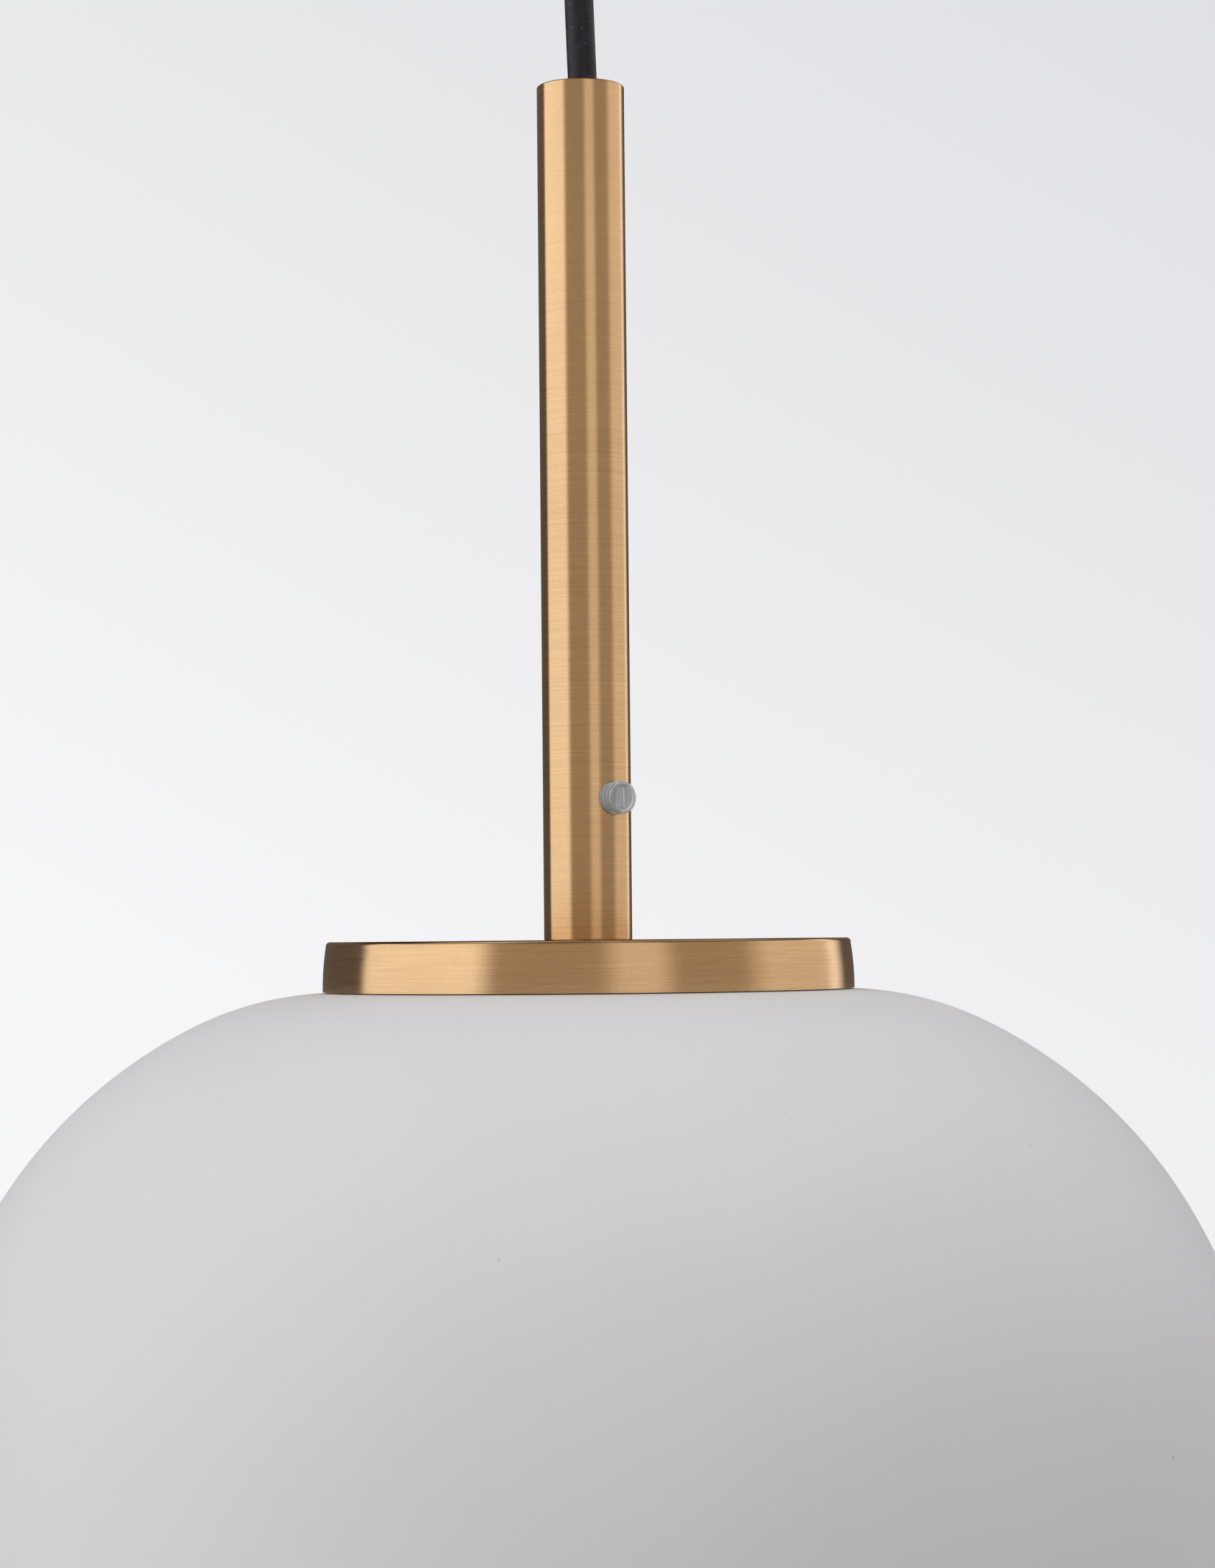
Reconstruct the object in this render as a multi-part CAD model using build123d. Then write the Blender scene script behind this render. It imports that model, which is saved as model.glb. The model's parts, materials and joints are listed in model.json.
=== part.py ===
from build123d import *
from math import asin, cos, degrees, hypot, pi, radians, sin, tan
import os

# Pendant ceiling light: a squashed opal glass globe under a shallow brass cap, on a brass stem
# that hangs from a round cable. Millimetres. The origin is on the ceiling, at the canopy's
# centre; +Z is up and the lamp hangs towards -Z. The stem's clear screw faces front and right.

# --- Driving dimensions -----------------------------------------------------------------------
CABLE_D = 5.3
CORE_D = 1.6
SHEET = 0.8

CANOPY_R = 50.0
CANOPY_HEIGHT = 25.0
CANOPY_RIM_GAP = 0.5
CANOPY_EDGE_R = 3.0

BRACKET_THICK = 1.5
BRACKET_HALF_SPAN = 46.5
BRACKET_WIDTH = 18.0
BRACKET_LEG = 16.0
SLOT_SPACING = 60.0
SLOT_LENGTH = 16.0
SLOT_WIDTH = 5.0
SIDE_SCREW_Z = -10.0

GRIP_R = 7.5
GRIP_LENGTH = 12.0
FREE_DROP = 70.0
CABLE_INSIDE_STEM = 10.0

STEM_R = 8.0
STEM_WALL = 1.0
STEM_LENGTH = 156.0
SCREW_HEIGHT = 25.5
SCREW_AZIMUTH = -52.0
SCREW_STANDOFF = 2.7
SCREW_PITCH = 1.0

CAP_TOP_R = 47.4
CAP_RIM_R = 48.1
CAP_HEIGHT = 9.1
CAP_EDGE_R = 0.8

NECK_R = 45.2
NECK_TOP = -2.3
NECK_FILLET = 2.5
GLASS_WALL = 3.0
SHOULDER_CENTRE = (46.12, -66.38)
# Each arc of the globe's outline: its radius, and where it ends, in degrees down from the top.
# The last arc closes on the axis, so only its radius is given.
GLOBE_ARCS = [(57.2, 26.36), (85.12, 60.0), (94.0, 90.0), (85.0, None)]
GLOBE_BOTTOM_R = 210.0

ROD_THREAD_R = 5.0      # M10 threaded pieces
M4_R = 2.0
BORE_PLAY = 0.02
CLEAR_HOLE_R = 5.2
NUT_WIDTH = 14.0        # across the flats of the M10 nuts
WASHER_R = 9.0
CUT = 1.0               # how far a cutting tool runs past the stock
RUN_SHARE = 0.45        # share of a cable's straight run that one bend may take

# --- Heights worked out from them ---------------------------------------------------------------
CANOPY_FLOOR_Z = -CANOPY_HEIGHT
GRIP_MOUTH_Z = CANOPY_FLOOR_Z - GRIP_LENGTH
STEM_TOP_Z = GRIP_MOUTH_Z - FREE_DROP
CAP_Z = STEM_TOP_Z - STEM_LENGTH
CABLE_JOINT_Z = STEM_TOP_Z - CABLE_INSIDE_STEM

STANDING = (Align.CENTER, Align.CENTER, Align.MIN)


# --- Shop tools: the few ways in which the pieces are made -------------------------------------
def rod(radius, bottom, top, x=0.0, y=0.0):
    """Upright round bar between two heights."""
    return Pos(x, y, bottom) * Cylinder(radius, top - bottom, align=STANDING)


def tube(outer, inner, bottom, top, x=0.0, y=0.0):
    """Upright ring or tube between two heights."""
    return rod(outer, bottom, top, x, y) - rod(inner, bottom - CUT, top + CUT, x, y)


def block(x_size, y_size, bottom, top, x=0.0, y=0.0):
    """Upright rectangular block between two heights."""
    return Pos(x, y, bottom) * Box(x_size, y_size, top - bottom, align=STANDING)


def turned(points):
    """Solid turned about the lamp's axis from a closed outline of (radius, height) points."""
    outline = Wire.make_polygon([Vector(r, 0, z) for r, z in points], close=True)
    return revolve(Face(outline), Axis.Z)


def hex_nut(across_flats, hole_r, bottom, top):
    """Plain hexagon nut with a round hole."""
    hexagon = RegularPolygon(across_flats / 2, 6, major_radius=False)
    nut = extrude(Pos(0, 0, bottom) * hexagon, top - bottom)
    return nut - rod(hole_r, bottom - CUT, top + CUT)


def below_cap(depth):
    """Height of a place that lies depth below the top face of the brass cap."""
    return CAP_Z - depth


def route_radii(points):
    """Bend radius at each inner point of a route: as large as the two runs beside it allow."""
    radii = []
    for before, corner, after in zip(points, points[1:], points[2:]):
        run_in = Vector(*corner) - Vector(*before)
        run_out = Vector(*after) - Vector(*corner)
        half_turn = radians(run_in.get_angle(run_out) / 2)
        radii.append(RUN_SHARE * min(run_in.length, run_out.length) / tan(half_turn))
    return radii


def lead(points, diameter, name):
    """Round cable or core: straight runs joined by tangent arcs."""
    radii = route_radii(points)
    path = FilletPolyline(*points, radius=radii)
    section = Plane(origin=path @ 0, z_dir=path % 0) * Circle(diameter / 2)
    solid = sweep(section, path=path)
    expected = pi * diameter**2 / 4 * path.length
    print(f"{name}: length {path.length:.2f}, bend radii {[round(r, 1) for r in radii]},",
          f"volume {solid.volume:.1f} of {expected:.1f}")
    return solid


# --- Canopy and its bracket ----------------------------------------------------------------------
EARTH_SCREW_X = 14.0
WIRE_HOLE_R = 5.25


def ceiling_bracket():
    """U-shaped steel strap: slotted for two ceiling screws, its legs tapped for the side screws."""
    top = block(2 * BRACKET_HALF_SPAN, BRACKET_WIDTH, -BRACKET_THICK, 0)
    strap = top
    for side in (-1, 1):
        leg_x = side * (BRACKET_HALF_SPAN - BRACKET_THICK / 2)
        strap += block(BRACKET_THICK, BRACKET_WIDTH, -BRACKET_LEG, -BRACKET_THICK, leg_x)
    slot = SlotOverall(SLOT_LENGTH, SLOT_WIDTH)
    for side in (-1, 1):
        flat = Pos(side * SLOT_SPACING / 2, 0, -BRACKET_THICK - CUT) * slot
        strap -= extrude(flat, BRACKET_THICK + 2 * CUT)
    tapped = M4_R + BORE_PLAY
    strap -= rod(WIRE_HOLE_R, -BRACKET_THICK - CUT, CUT)
    strap -= rod(tapped, -BRACKET_THICK - CUT, CUT, EARTH_SCREW_X)
    through = Cylinder(tapped, 2 * BRACKET_HALF_SPAN + 2 * CUT, rotation=(0, 90, 0))
    return strap - Pos(0, 0, SIDE_SCREW_Z) * through


def bracket_earth_screw():
    """Earth screw, pan head down, in the bracket's flat."""
    head = rod(3.8, -BRACKET_THICK - 2.5, -BRACKET_THICK, EARTH_SCREW_X)
    return head + rod(M4_R, -BRACKET_THICK, -0.2, EARTH_SCREW_X)


def canopy_cup():
    """Spun brass cup that covers the ceiling fixing, with a hole for the cord grip."""
    rim_z = -CANOPY_RIM_GAP
    outer = rod(CANOPY_R, CANOPY_FLOOR_Z, rim_z)
    outer = fillet(outer.edges().sort_by(Axis.Z)[0], CANOPY_EDGE_R)
    hollow = rod(CANOPY_R - SHEET, CANOPY_FLOOR_Z + SHEET, rim_z)
    hollow = fillet(hollow.edges().sort_by(Axis.Z)[0], CANOPY_EDGE_R - SHEET)
    cup = outer - hollow - rod(CLEAR_HOLE_R, CANOPY_FLOOR_Z - CUT, CANOPY_FLOOR_Z + 2 * CUT)
    through = Cylinder(M4_R + 0.15, 2 * CANOPY_R + 2 * CUT, rotation=(0, 90, 0))
    return cup - Pos(0, 0, SIDE_SCREW_Z) * through


def canopy_side_screws():
    """The two slotted brass screws that hold the cup on the bracket's legs."""
    shank_end = BRACKET_HALF_SPAN - BRACKET_THICK - 1.5
    length = CANOPY_R - shank_end
    head_r, head_thick, slot_width, slot_depth = 4.0, 2.4, 1.0, 1.0
    head = Pos(0, 0, length) * Cylinder(head_r, head_thick, align=STANDING)
    head = fillet(head.edges().sort_by(Axis.Z)[-1], 0.8)
    driver_slot = block(slot_width, 2 * head_r + CUT, length + head_thick - slot_depth,
                        length + head_thick + CUT)
    screw = (Cylinder(M4_R, length, align=STANDING) + head) - driver_slot
    pair = []
    for turn in (0, 180):
        outward = Rot(0, 0, turn) * Pos(shank_end, 0, SIDE_SCREW_Z) * Rot(0, 90, 0)
        pair.append(outward * screw)
    return pair


TERMINAL_Y = 24.0
TERMINAL_PITCH = 9.0
TERMINAL_BLOCK_DEPTH = 13.0
WIRE_ENTRY_Y = TERMINAL_Y - 3.5
WIRE_ENTRY_R = 1.3
WIRE_ENTRY_END_Z = -19.0
TERMINAL_SCREW_Y = TERMINAL_Y + 3.0
TERMINAL_SCREW_R = 1.85
TERMINAL_SCREW_TOP_Z = -12.6
TERMINAL_SCREW_END_Z = -15.8
TERMINAL_TOP_Z = -12.0


def terminal_block():
    """Three-way terminal block on the canopy's floor, wires and screws entering from above."""
    floor = CANOPY_FLOOR_Z + SHEET
    width = 3 * TERMINAL_PITCH + 3
    body = block(width, TERMINAL_BLOCK_DEPTH, floor, TERMINAL_TOP_Z, 0, TERMINAL_Y)
    for way in (-1, 0, 1):
        x = way * TERMINAL_PITCH
        body -= rod(WIRE_ENTRY_R, WIRE_ENTRY_END_Z, TERMINAL_TOP_Z + CUT, x, WIRE_ENTRY_Y)
        body -= rod(TERMINAL_SCREW_R + 0.05, TERMINAL_SCREW_END_Z - 0.2, TERMINAL_TOP_Z + CUT, x,
                    TERMINAL_SCREW_Y)
    return body


def terminal_screws():
    """The block's three slotted screws."""
    screws = []
    for way in (-1, 0, 1):
        x = way * TERMINAL_PITCH
        screw = rod(TERMINAL_SCREW_R, TERMINAL_SCREW_END_Z, TERMINAL_SCREW_TOP_Z, x, TERMINAL_SCREW_Y)
        slot = block(0.6, 5.0, TERMINAL_SCREW_TOP_Z - 0.8, TERMINAL_TOP_Z, x, TERMINAL_SCREW_Y)
        screws.append(screw - slot)
    return screws


# --- Cord grip under the canopy -------------------------------------------------------------------
GRIP_SCREW_Z = GRIP_MOUTH_Z + 6.0
GRIP_SHANK_TOP = -16.0
GRIP_NUT_Z = CANOPY_FLOOR_Z + SHEET + 1.0


def cord_grip_body():
    """Turned brass cord grip: a threaded shank through the canopy and a collar round the cable."""
    collar = rod(GRIP_R, GRIP_MOUTH_Z, CANOPY_FLOOR_Z)
    collar = chamfer(collar.edges().sort_by(Axis.Z)[0], 1.2)
    grip = collar + rod(ROD_THREAD_R, CANOPY_FLOOR_Z, GRIP_SHANK_TOP)
    grip -= rod(CABLE_D / 2 + 0.15, GRIP_MOUTH_Z - CUT, GRIP_SHANK_TOP + CUT)
    side_hole = Cylinder(M4_R + BORE_PLAY, GRIP_R + CUT, align=STANDING)
    side_hole = Pos(0, 0, GRIP_SCREW_Z) * Rot(0, 90, 0) * side_hole
    return grip - side_hole


def cord_grip_screw():
    """Headless nylon screw that holds the cable in the grip."""
    tip = CABLE_D / 2 + 0.1
    length = GRIP_R - 0.2 - tip
    screw = Cylinder(M4_R, length, align=STANDING) - block(0.8, 3.0, length - 0.8, length + CUT)
    return Pos(tip, 0, GRIP_SCREW_Z) * Rot(0, 90, 0) * screw


# --- Cable, from the terminal block to the lampholder -----------------------------------------------
SHEATH_TOP_Z = -14.0
SHEATH_END = 16.0       # below the cap's top
CORE_SPREAD = 1.2       # radius at which the three cores leave the sheath

# The free stretch: straight down out of the grip, a slight bow, and into the stem off its centre.
FREE_ROUTE = [
    (0.0, 0.0, GRIP_MOUTH_Z),
    (0.0, 0.0, -56.0),
    (-0.5, 0.0, -76.0),
    (0.05, 0.0, -97.0),
    (0.8, 0.0, CABLE_JOINT_Z),
]


def cable_in_canopy():
    """Straight end of the cable, held by the grip, its sheath cut back above the nut."""
    return rod(CABLE_D / 2, GRIP_MOUTH_Z, SHEATH_TOP_Z)


def supply_cable():
    """The free stretch of cable between the grip's mouth and the inside of the stem."""
    return lead(FREE_ROUTE, CABLE_D, "supply_cable")


def cable_in_stem():
    """The cable inside the stem, through the clamp and the nipple into the lampholder."""
    before, start = [Vector(*point) for point in FREE_ROUTE[-2:]]
    along = (start - before).normalized()
    first_bend = start + along * 28.0
    route = [
        tuple(start),
        tuple(first_bend),
        (0.5, 0.0, -187.0),
        (0.0, 0.0, -226.0),
        (0.0, 0.0, below_cap(SHEATH_END)),
    ]
    return lead(route, CABLE_D, "cable_in_stem")


def canopy_core(way, angle, name):
    """One insulated core, arching from the sheath's end down into its terminal."""
    x = CORE_SPREAD * cos(radians(angle))
    y = CORE_SPREAD * sin(radians(angle))
    end_x = way * TERMINAL_PITCH
    route = [
        (x, y, SHEATH_TOP_Z),
        (x, y, -9.2),
        (0.35 * end_x + x / 2, 6.0, -5.4),
        (0.75 * end_x, 13.0, -4.6),
        (end_x, 18.6, -6.6),
        (end_x, WIRE_ENTRY_Y, -11.0),
        (end_x, WIRE_ENTRY_Y, -16.0),
    ]
    return lead(route, CORE_D, name)


def holder_core(azimuth, name):
    """One insulated core, from the sheath's end out to its terminal in the lampholder."""
    route = [
        (CORE_SPREAD, 0.0, below_cap(SHEATH_END)),
        (CORE_SPREAD, 0.0, below_cap(19.0)),
        (4.3, 0.0, below_cap(TERMINAL_MID)),
        (HOLDER_TERMINAL_R - HOLDER_TERMINAL / 2, 0.0, below_cap(TERMINAL_MID)),
    ]
    return Rot(0, 0, azimuth) * lead(route, CORE_D, name)


# --- Stem ----------------------------------------------------------------------------------------------
BUSHING_R = STEM_R - STEM_WALL - BORE_PLAY
SCREW_Z = CAP_Z + SCREW_HEIGHT
SCREW_TIP_R = CABLE_D / 2 + 0.15
SCREW_FACE_R = STEM_R + SCREW_STANDOFF
SCREW_R = 3.0
SCREW_HOLE_R = 3.05
STEM_BUSHING_HEIGHT = 12.0
CLAMP_BORE_R = 3.3
CLAMP_HALF_HEIGHT = 7.0
NIPPLE_BORE_R = 3.5
NIPPLE_BELOW = 13.0     # how far it reaches below the cap's top


def screw_axis():
    """Plane at the stem's centre whose Z axis runs out along the clear screw."""
    turn = radians(SCREW_AZIMUTH)
    return Plane(origin=(0, 0, SCREW_Z), x_dir=(0, 0, 1), z_dir=(cos(turn), sin(turn), 0))


def screw_hole():
    """Cutting tool for the clear screw's threaded hole."""
    return screw_axis() * Cylinder(SCREW_HOLE_R, 2 * STEM_R, align=STANDING)


def stem_tube():
    """Brushed brass tube, open at the top, drilled for the clear screw."""
    wall = tube(STEM_R, STEM_R - STEM_WALL, CAP_Z, STEM_TOP_Z)
    rim = wall.edges().filter_by(GeomType.CIRCLE).sort_by(Axis.Z)[-2:]
    wall = chamfer(rim, 0.15)
    return wall - screw_hole()


def stem_bushing():
    """Threaded brass plug brazed into the stem's foot."""
    return tube(BUSHING_R, ROD_THREAD_R + BORE_PLAY, CAP_Z, CAP_Z + STEM_BUSHING_HEIGHT)


def clamp_bushing():
    """Brass insert brazed in behind the clear screw, which carries its thread."""
    insert = tube(BUSHING_R, CLAMP_BORE_R, SCREW_Z - CLAMP_HALF_HEIGHT, SCREW_Z + CLAMP_HALF_HEIGHT)
    return insert - screw_hole()


def threaded_nipple():
    """Hollow M10 rod that joins the stem, the cap and the lampholder."""
    return tube(ROD_THREAD_R, NIPPLE_BORE_R, below_cap(NIPPLE_BELOW), CAP_Z + STEM_BUSHING_HEIGHT - 1.0)


def clamp_screw():
    """Clear headless screw: ridged outside, a shallow round recess and a driver slot in its face."""
    ridges = [(0.0, SCREW_TIP_R), (SCREW_R - 0.6, SCREW_TIP_R)]
    turns = int((SCREW_FACE_R - SCREW_TIP_R) / SCREW_PITCH)
    for turn in range(turns):
        low = SCREW_TIP_R + turn * SCREW_PITCH
        ridges.append((SCREW_R - 0.5, low + 0.1))
        ridges.append((SCREW_R, low + SCREW_PITCH / 2))
    ridges.append((SCREW_R - 0.5, SCREW_FACE_R - 0.3))
    ridges.append((SCREW_R - 0.25, SCREW_FACE_R))
    ridges.append((0.0, SCREW_FACE_R))
    screw = turned(ridges)
    screw -= rod(2.35, SCREW_FACE_R - 0.4, SCREW_FACE_R + CUT)
    screw -= block(3.7, 1.3, SCREW_FACE_R - 2.2, SCREW_FACE_R + CUT)
    return screw_axis() * screw


# --- Cap, spring carrier and shade -----------------------------------------------------------------------
def cap_side(inset, top, bottom):
    """The cap's side, very slightly curved, moved in by inset."""
    middle = Vector(CAP_RIM_R - 0.2 - inset, 0, below_cap(4.2))
    return Edge.make_three_point_arc(
        Vector(CAP_TOP_R - inset, 0, below_cap(top)), middle,
        Vector(CAP_RIM_R - inset, 0, below_cap(bottom)))


def cap_blank(inset, top, bottom):
    """Turned block with the cap's outline, from its top face to a level below."""
    side = cap_side(inset, top, bottom)
    corners = [side @ 1, Vector(0, 0, below_cap(bottom)), Vector(0, 0, below_cap(top)), side @ 0]
    lines = [Edge.make_line(a, b) for a, b in zip(corners, corners[1:])]
    blank = revolve(Face(Wire([side] + lines)), Axis.Z)
    return fillet(blank.edges().sort_by(Axis.Z)[-1], CAP_EDGE_R - inset / 2)


def cap_shell():
    """Shallow spun brass cap over the shade's neck."""
    shell = cap_blank(0.0, 0.0, CAP_HEIGHT) - cap_blank(SHEET, SHEET, CAP_HEIGHT)
    return shell - rod(CLEAR_HOLE_R, below_cap(3), CAP_Z + CUT)


CARRIER_R = 34.0
CARRIER_UNDER = 2.3     # below the cap's top
RIVET_R = 1.6
RIVET_AT = 29.0
ARM_AZIMUTHS = (90, 210, 330)
ARM_THICK = 0.8
ARM_WIDTH = 9.0
# Centre line of a spring arm, as (radius, depth below the cap's top).
ARM_LINE = [(24.0, 2.7), (35.0, 2.7), (40.4, 6.6), (40.9, 9.5), (46.6, 14.6), (41.0, 28.0)]
ARM_BENDS = [3.0, 2.0, 2.0, 1.5]


def carrier_plate():
    """Round steel plate under the cap that carries the three spring arms."""
    plate = tube(CARRIER_R, CLEAR_HOLE_R, below_cap(CARRIER_UNDER), below_cap(SHEET))
    for azimuth in ARM_AZIMUTHS:
        plate -= Rot(0, 0, azimuth) * rod(RIVET_R + 0.05, below_cap(4), CAP_Z, RIVET_AT)
    return plate


def spring_arm(azimuth):
    """Bent spring-steel strip whose elbow hooks under the shade's neck."""
    path = FilletPolyline(*[(r, 0, below_cap(z)) for r, z in ARM_LINE], radius=ARM_BENDS)
    flat = Plane(origin=path @ 0, x_dir=(0, 1, 0), z_dir=path % 0)
    strip = sweep(flat * Rectangle(ARM_WIDTH, ARM_THICK), path=path)
    strip -= rod(RIVET_R + 0.05, below_cap(5), CAP_Z, RIVET_AT)
    return Rot(0, 0, azimuth) * strip


def arm_rivets():
    """The rivets that hold the arms on the carrier plate."""
    under = CARRIER_UNDER + ARM_THICK
    rivet = rod(RIVET_R, below_cap(under), below_cap(SHEET + 0.1), RIVET_AT)
    rivet += rod(3.0, below_cap(under + 1.2), below_cap(under), RIVET_AT)
    return [Rot(0, 0, azimuth) * rivet for azimuth in ARM_AZIMUTHS]


WASHER_UNDER = CARRIER_UNDER + 0.8
NUT_UNDER = WASHER_UNDER + 3.5


def lock_washer():
    """Washer between the carrier plate and its nut."""
    return tube(WASHER_R, CLEAR_HOLE_R, below_cap(WASHER_UNDER), below_cap(CARRIER_UNDER))


def nipple_nut():
    """M10 nut that clamps the cap and the carrier plate against the stem."""
    hole = ROD_THREAD_R + BORE_PLAY
    return hex_nut(NUT_WIDTH, hole, below_cap(NUT_UNDER), below_cap(WASHER_UNDER))


def shade_gasket():
    """Soft ring between the cap and the top of the shade's neck."""
    return tube(45.6, 41.8, CAP_Z + NECK_TOP, below_cap(SHEET))


def globe_point(centre, radius, angle):
    """Point on an arc of the globe's outline; the angle runs down from the top, in degrees."""
    turn = radians(angle)
    return Vector(centre[0] + radius * sin(turn), 0, CAP_Z + centre[1] + radius * cos(turn))


def globe_arc(centre, radius, start, end):
    """Arc of the globe's outline between two angles."""
    spots = [globe_point(centre, radius, a) for a in (start, (start + end) / 2, end)]
    return Edge.make_three_point_arc(*spots)


def globe_outline(inset):
    """Outline of the globe's wall, moved in by inset: neck, neck fillet and five arcs."""
    reach = GLOBE_ARCS[0][0] + NECK_FILLET
    fillet_r = NECK_R + NECK_FILLET
    lean = degrees(asin((fillet_r - SHOULDER_CENTRE[0]) / reach))
    fillet_centre = (fillet_r, SHOULDER_CENTRE[1] + reach * cos(radians(lean)))
    neck = globe_arc(fillet_centre, NECK_FILLET + inset, 270, 180 + lean)
    top = Vector(NECK_R - inset, 0, CAP_Z + NECK_TOP)
    edges = [Edge.make_line(top, neck @ 0), neck]
    centre = SHOULDER_CENTRE
    start = lean
    for index, (radius, end) in enumerate(GLOBE_ARCS):
        if end is None:
            end = 180 - degrees(asin(centre[0] / (GLOBE_BOTTOM_R - radius)))
        edges.append(globe_arc(centre, radius - inset, start, end))
        next_radius = GLOBE_BOTTOM_R if index + 1 == len(GLOBE_ARCS) else GLOBE_ARCS[index + 1][0]
        shift = radius - next_radius
        turn = radians(end)
        centre = (centre[0] + shift * sin(turn), centre[1] + shift * cos(turn))
        start = end
    edges.append(globe_arc(centre, GLOBE_BOTTOM_R - inset, start, 180))
    return edges


def shade_glass():
    """Opal glass globe: wider than it is tall, closed below, with a short straight neck."""
    outer = globe_outline(0.0)
    inner = globe_outline(GLASS_WALL)
    foot = Edge.make_line(outer[-1] @ 1, inner[-1] @ 1)
    lip = Edge.make_line(inner[0] @ 0, outer[0] @ 0)
    return revolve(Face(Wire(outer + [foot] + inner + [lip])), Axis.Z)


# --- Lampholder ---------------------------------------------------------------------------------------------
HOLDER_R = 19.5
HOLDER_WALL = 1.2
DOME_TOP = NUT_UNDER + 0.2
DOME_JOIN = 34.0
SKIRT_END = 64.0
CORE_TOP = 24.0
CORE_FLOOR = 33.0
CORE_R = 16.5
SHELL_R = 13.5
TERMINAL_MID = 21.5
HOLDER_TERMINAL = 5.0
HOLDER_TERMINAL_R = 10.0


def lampholder_dome():
    """Metal upper half of the lampholder, screwed on the nipple."""
    inside = HOLDER_R - HOLDER_WALL
    bore = ROD_THREAD_R + BORE_PLAY
    outline = [
        (bore, DOME_TOP), (9.0, DOME_TOP), (9.0, 12.0), (HOLDER_R, 18.0), (HOLDER_R, DOME_JOIN),
        (inside, DOME_JOIN), (inside, 18.7), (8.0, 13.2), (bore, 13.2),
    ]
    return turned([(r, below_cap(depth)) for r, depth in outline])


def lampholder_skirt():
    """Lower half of the lampholder, which hides the live shell."""
    inside = HOLDER_R - HOLDER_WALL
    outline = [
        (HOLDER_R, DOME_JOIN + 0.1), (HOLDER_R, SKIRT_END), (14.4, SKIRT_END),
        (14.4, SKIRT_END - HOLDER_WALL), (inside, SKIRT_END - HOLDER_WALL), (inside, DOME_JOIN + 0.1),
    ]
    return turned([(r, below_cap(depth)) for r, depth in outline])


def lampholder_core():
    """Glazed ceramic core that carries the contacts and the terminals."""
    outline = [
        (0.0, CORE_TOP), (CORE_R, CORE_TOP), (CORE_R, 61.0), (14.3, 61.0), (14.3, CORE_FLOOR),
        (0.0, CORE_FLOOR),
    ]
    return turned([(r, below_cap(depth)) for r, depth in outline])


def thread_shell():
    """Nickelled sleeve that takes the bulb's screw cap."""
    return tube(14.2, SHELL_R, below_cap(58.0), below_cap(35.0))


def centre_contact():
    """Sprung brass tongue with a dimple for the bulb's tip."""
    tongue = block(16.0, 6.0, below_cap(CORE_FLOOR + 0.6), below_cap(CORE_FLOOR))
    return tongue + rod(2.5, below_cap(CORE_FLOOR + 1.6), below_cap(CORE_FLOOR + 0.6))


CORE_AZIMUTHS = {"live": 0, "neutral": 180, "earth": 90}


def holder_terminals():
    """Three brass terminal blocks on the ceramic core."""
    size = HOLDER_TERMINAL
    top = CORE_TOP - size
    post = block(size, size, below_cap(CORE_TOP), below_cap(top), HOLDER_TERMINAL_R)
    post -= rod(1.45, below_cap(top + 3.5), below_cap(top) + CUT, HOLDER_TERMINAL_R)
    return [Rot(0, 0, azimuth) * post for azimuth in CORE_AZIMUTHS.values()]


def holder_terminal_screws():
    """The three screws of those blocks."""
    top = CORE_TOP - HOLDER_TERMINAL
    screw = rod(1.4, below_cap(top + 3.3), below_cap(top - 0.8), HOLDER_TERMINAL_R)
    screw -= block(0.5, 4.0, below_cap(top), below_cap(top - 1.8), HOLDER_TERMINAL_R)
    return [Rot(0, 0, azimuth) * screw for azimuth in CORE_AZIMUTHS.values()]


# --- Bulb ------------------------------------------------------------------------------------------------------
BULB_TIP = CORE_FLOOR + 1.9
BULB_R = 30.0
BULB_CENTRE = 110.0
BULB_NECK_R = 12.4
BULB_NECK_TOP = 45.0
BULB_FIT = 0.45         # how much smaller the glass is than the room inside its screw cap
BULB_WALL = 0.8


def bulb_tip_contact():
    """Solder pip at the bulb's end."""
    return rod(4.5, below_cap(BULB_TIP + 1.5), below_cap(BULB_TIP))


def bulb_insulator():
    """Black glass cone between the pip and the screw cap."""
    outline = [(0.0, BULB_TIP + 1.5), (4.5, BULB_TIP + 1.5), (11.0, 40.0), (0.0, 40.0)]
    return turned([(r, below_cap(depth)) for r, depth in outline])


def bulb_screw_cap():
    """Screw cap of the bulb: a thin ridged sleeve, closed at the top."""
    ridge_pitch = 3.6
    outline = [(0.0, 40.0), (11.0, 40.0), (12.3, 41.6)]
    for ridge in range(4):
        depth = 42.0 + ridge * ridge_pitch
        outline.append((12.45, depth))
        outline.append((13.05, depth + ridge_pitch / 2))
    outline += [(12.9, 57.4), (12.9, 61.0), (12.45, 61.0), (12.0, 41.4), (0.0, 40.6)]
    return turned([(r, below_cap(depth)) for r, depth in outline])


def bulb_blank(inset):
    """Turned block with the bulb's outline, moved in by inset."""
    neck = BULB_NECK_R - inset
    radius = BULB_R - inset
    shoulder = 62.0
    reach = hypot(neck, BULB_CENTRE - shoulder)
    # The cone from the neck touches the ball where the ball's radius is square to it.
    height = degrees(asin(radius / reach) - asin(neck / reach))
    ball = [Vector(radius * cos(radians(angle)), 0, below_cap(BULB_CENTRE - radius * sin(radians(angle))))
            for angle in (height, (height - 90) / 2, -90)]
    top = BULB_NECK_TOP + inset
    corners = [ball[0], Vector(neck, 0, below_cap(shoulder)), Vector(neck, 0, below_cap(top)),
               Vector(0, 0, below_cap(top)), ball[2]]
    lines = [Edge.make_line(a, b) for a, b in zip(corners, corners[1:])]
    return revolve(Face(Wire(lines + [Edge.make_three_point_arc(*ball)])), Axis.Z)


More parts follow.
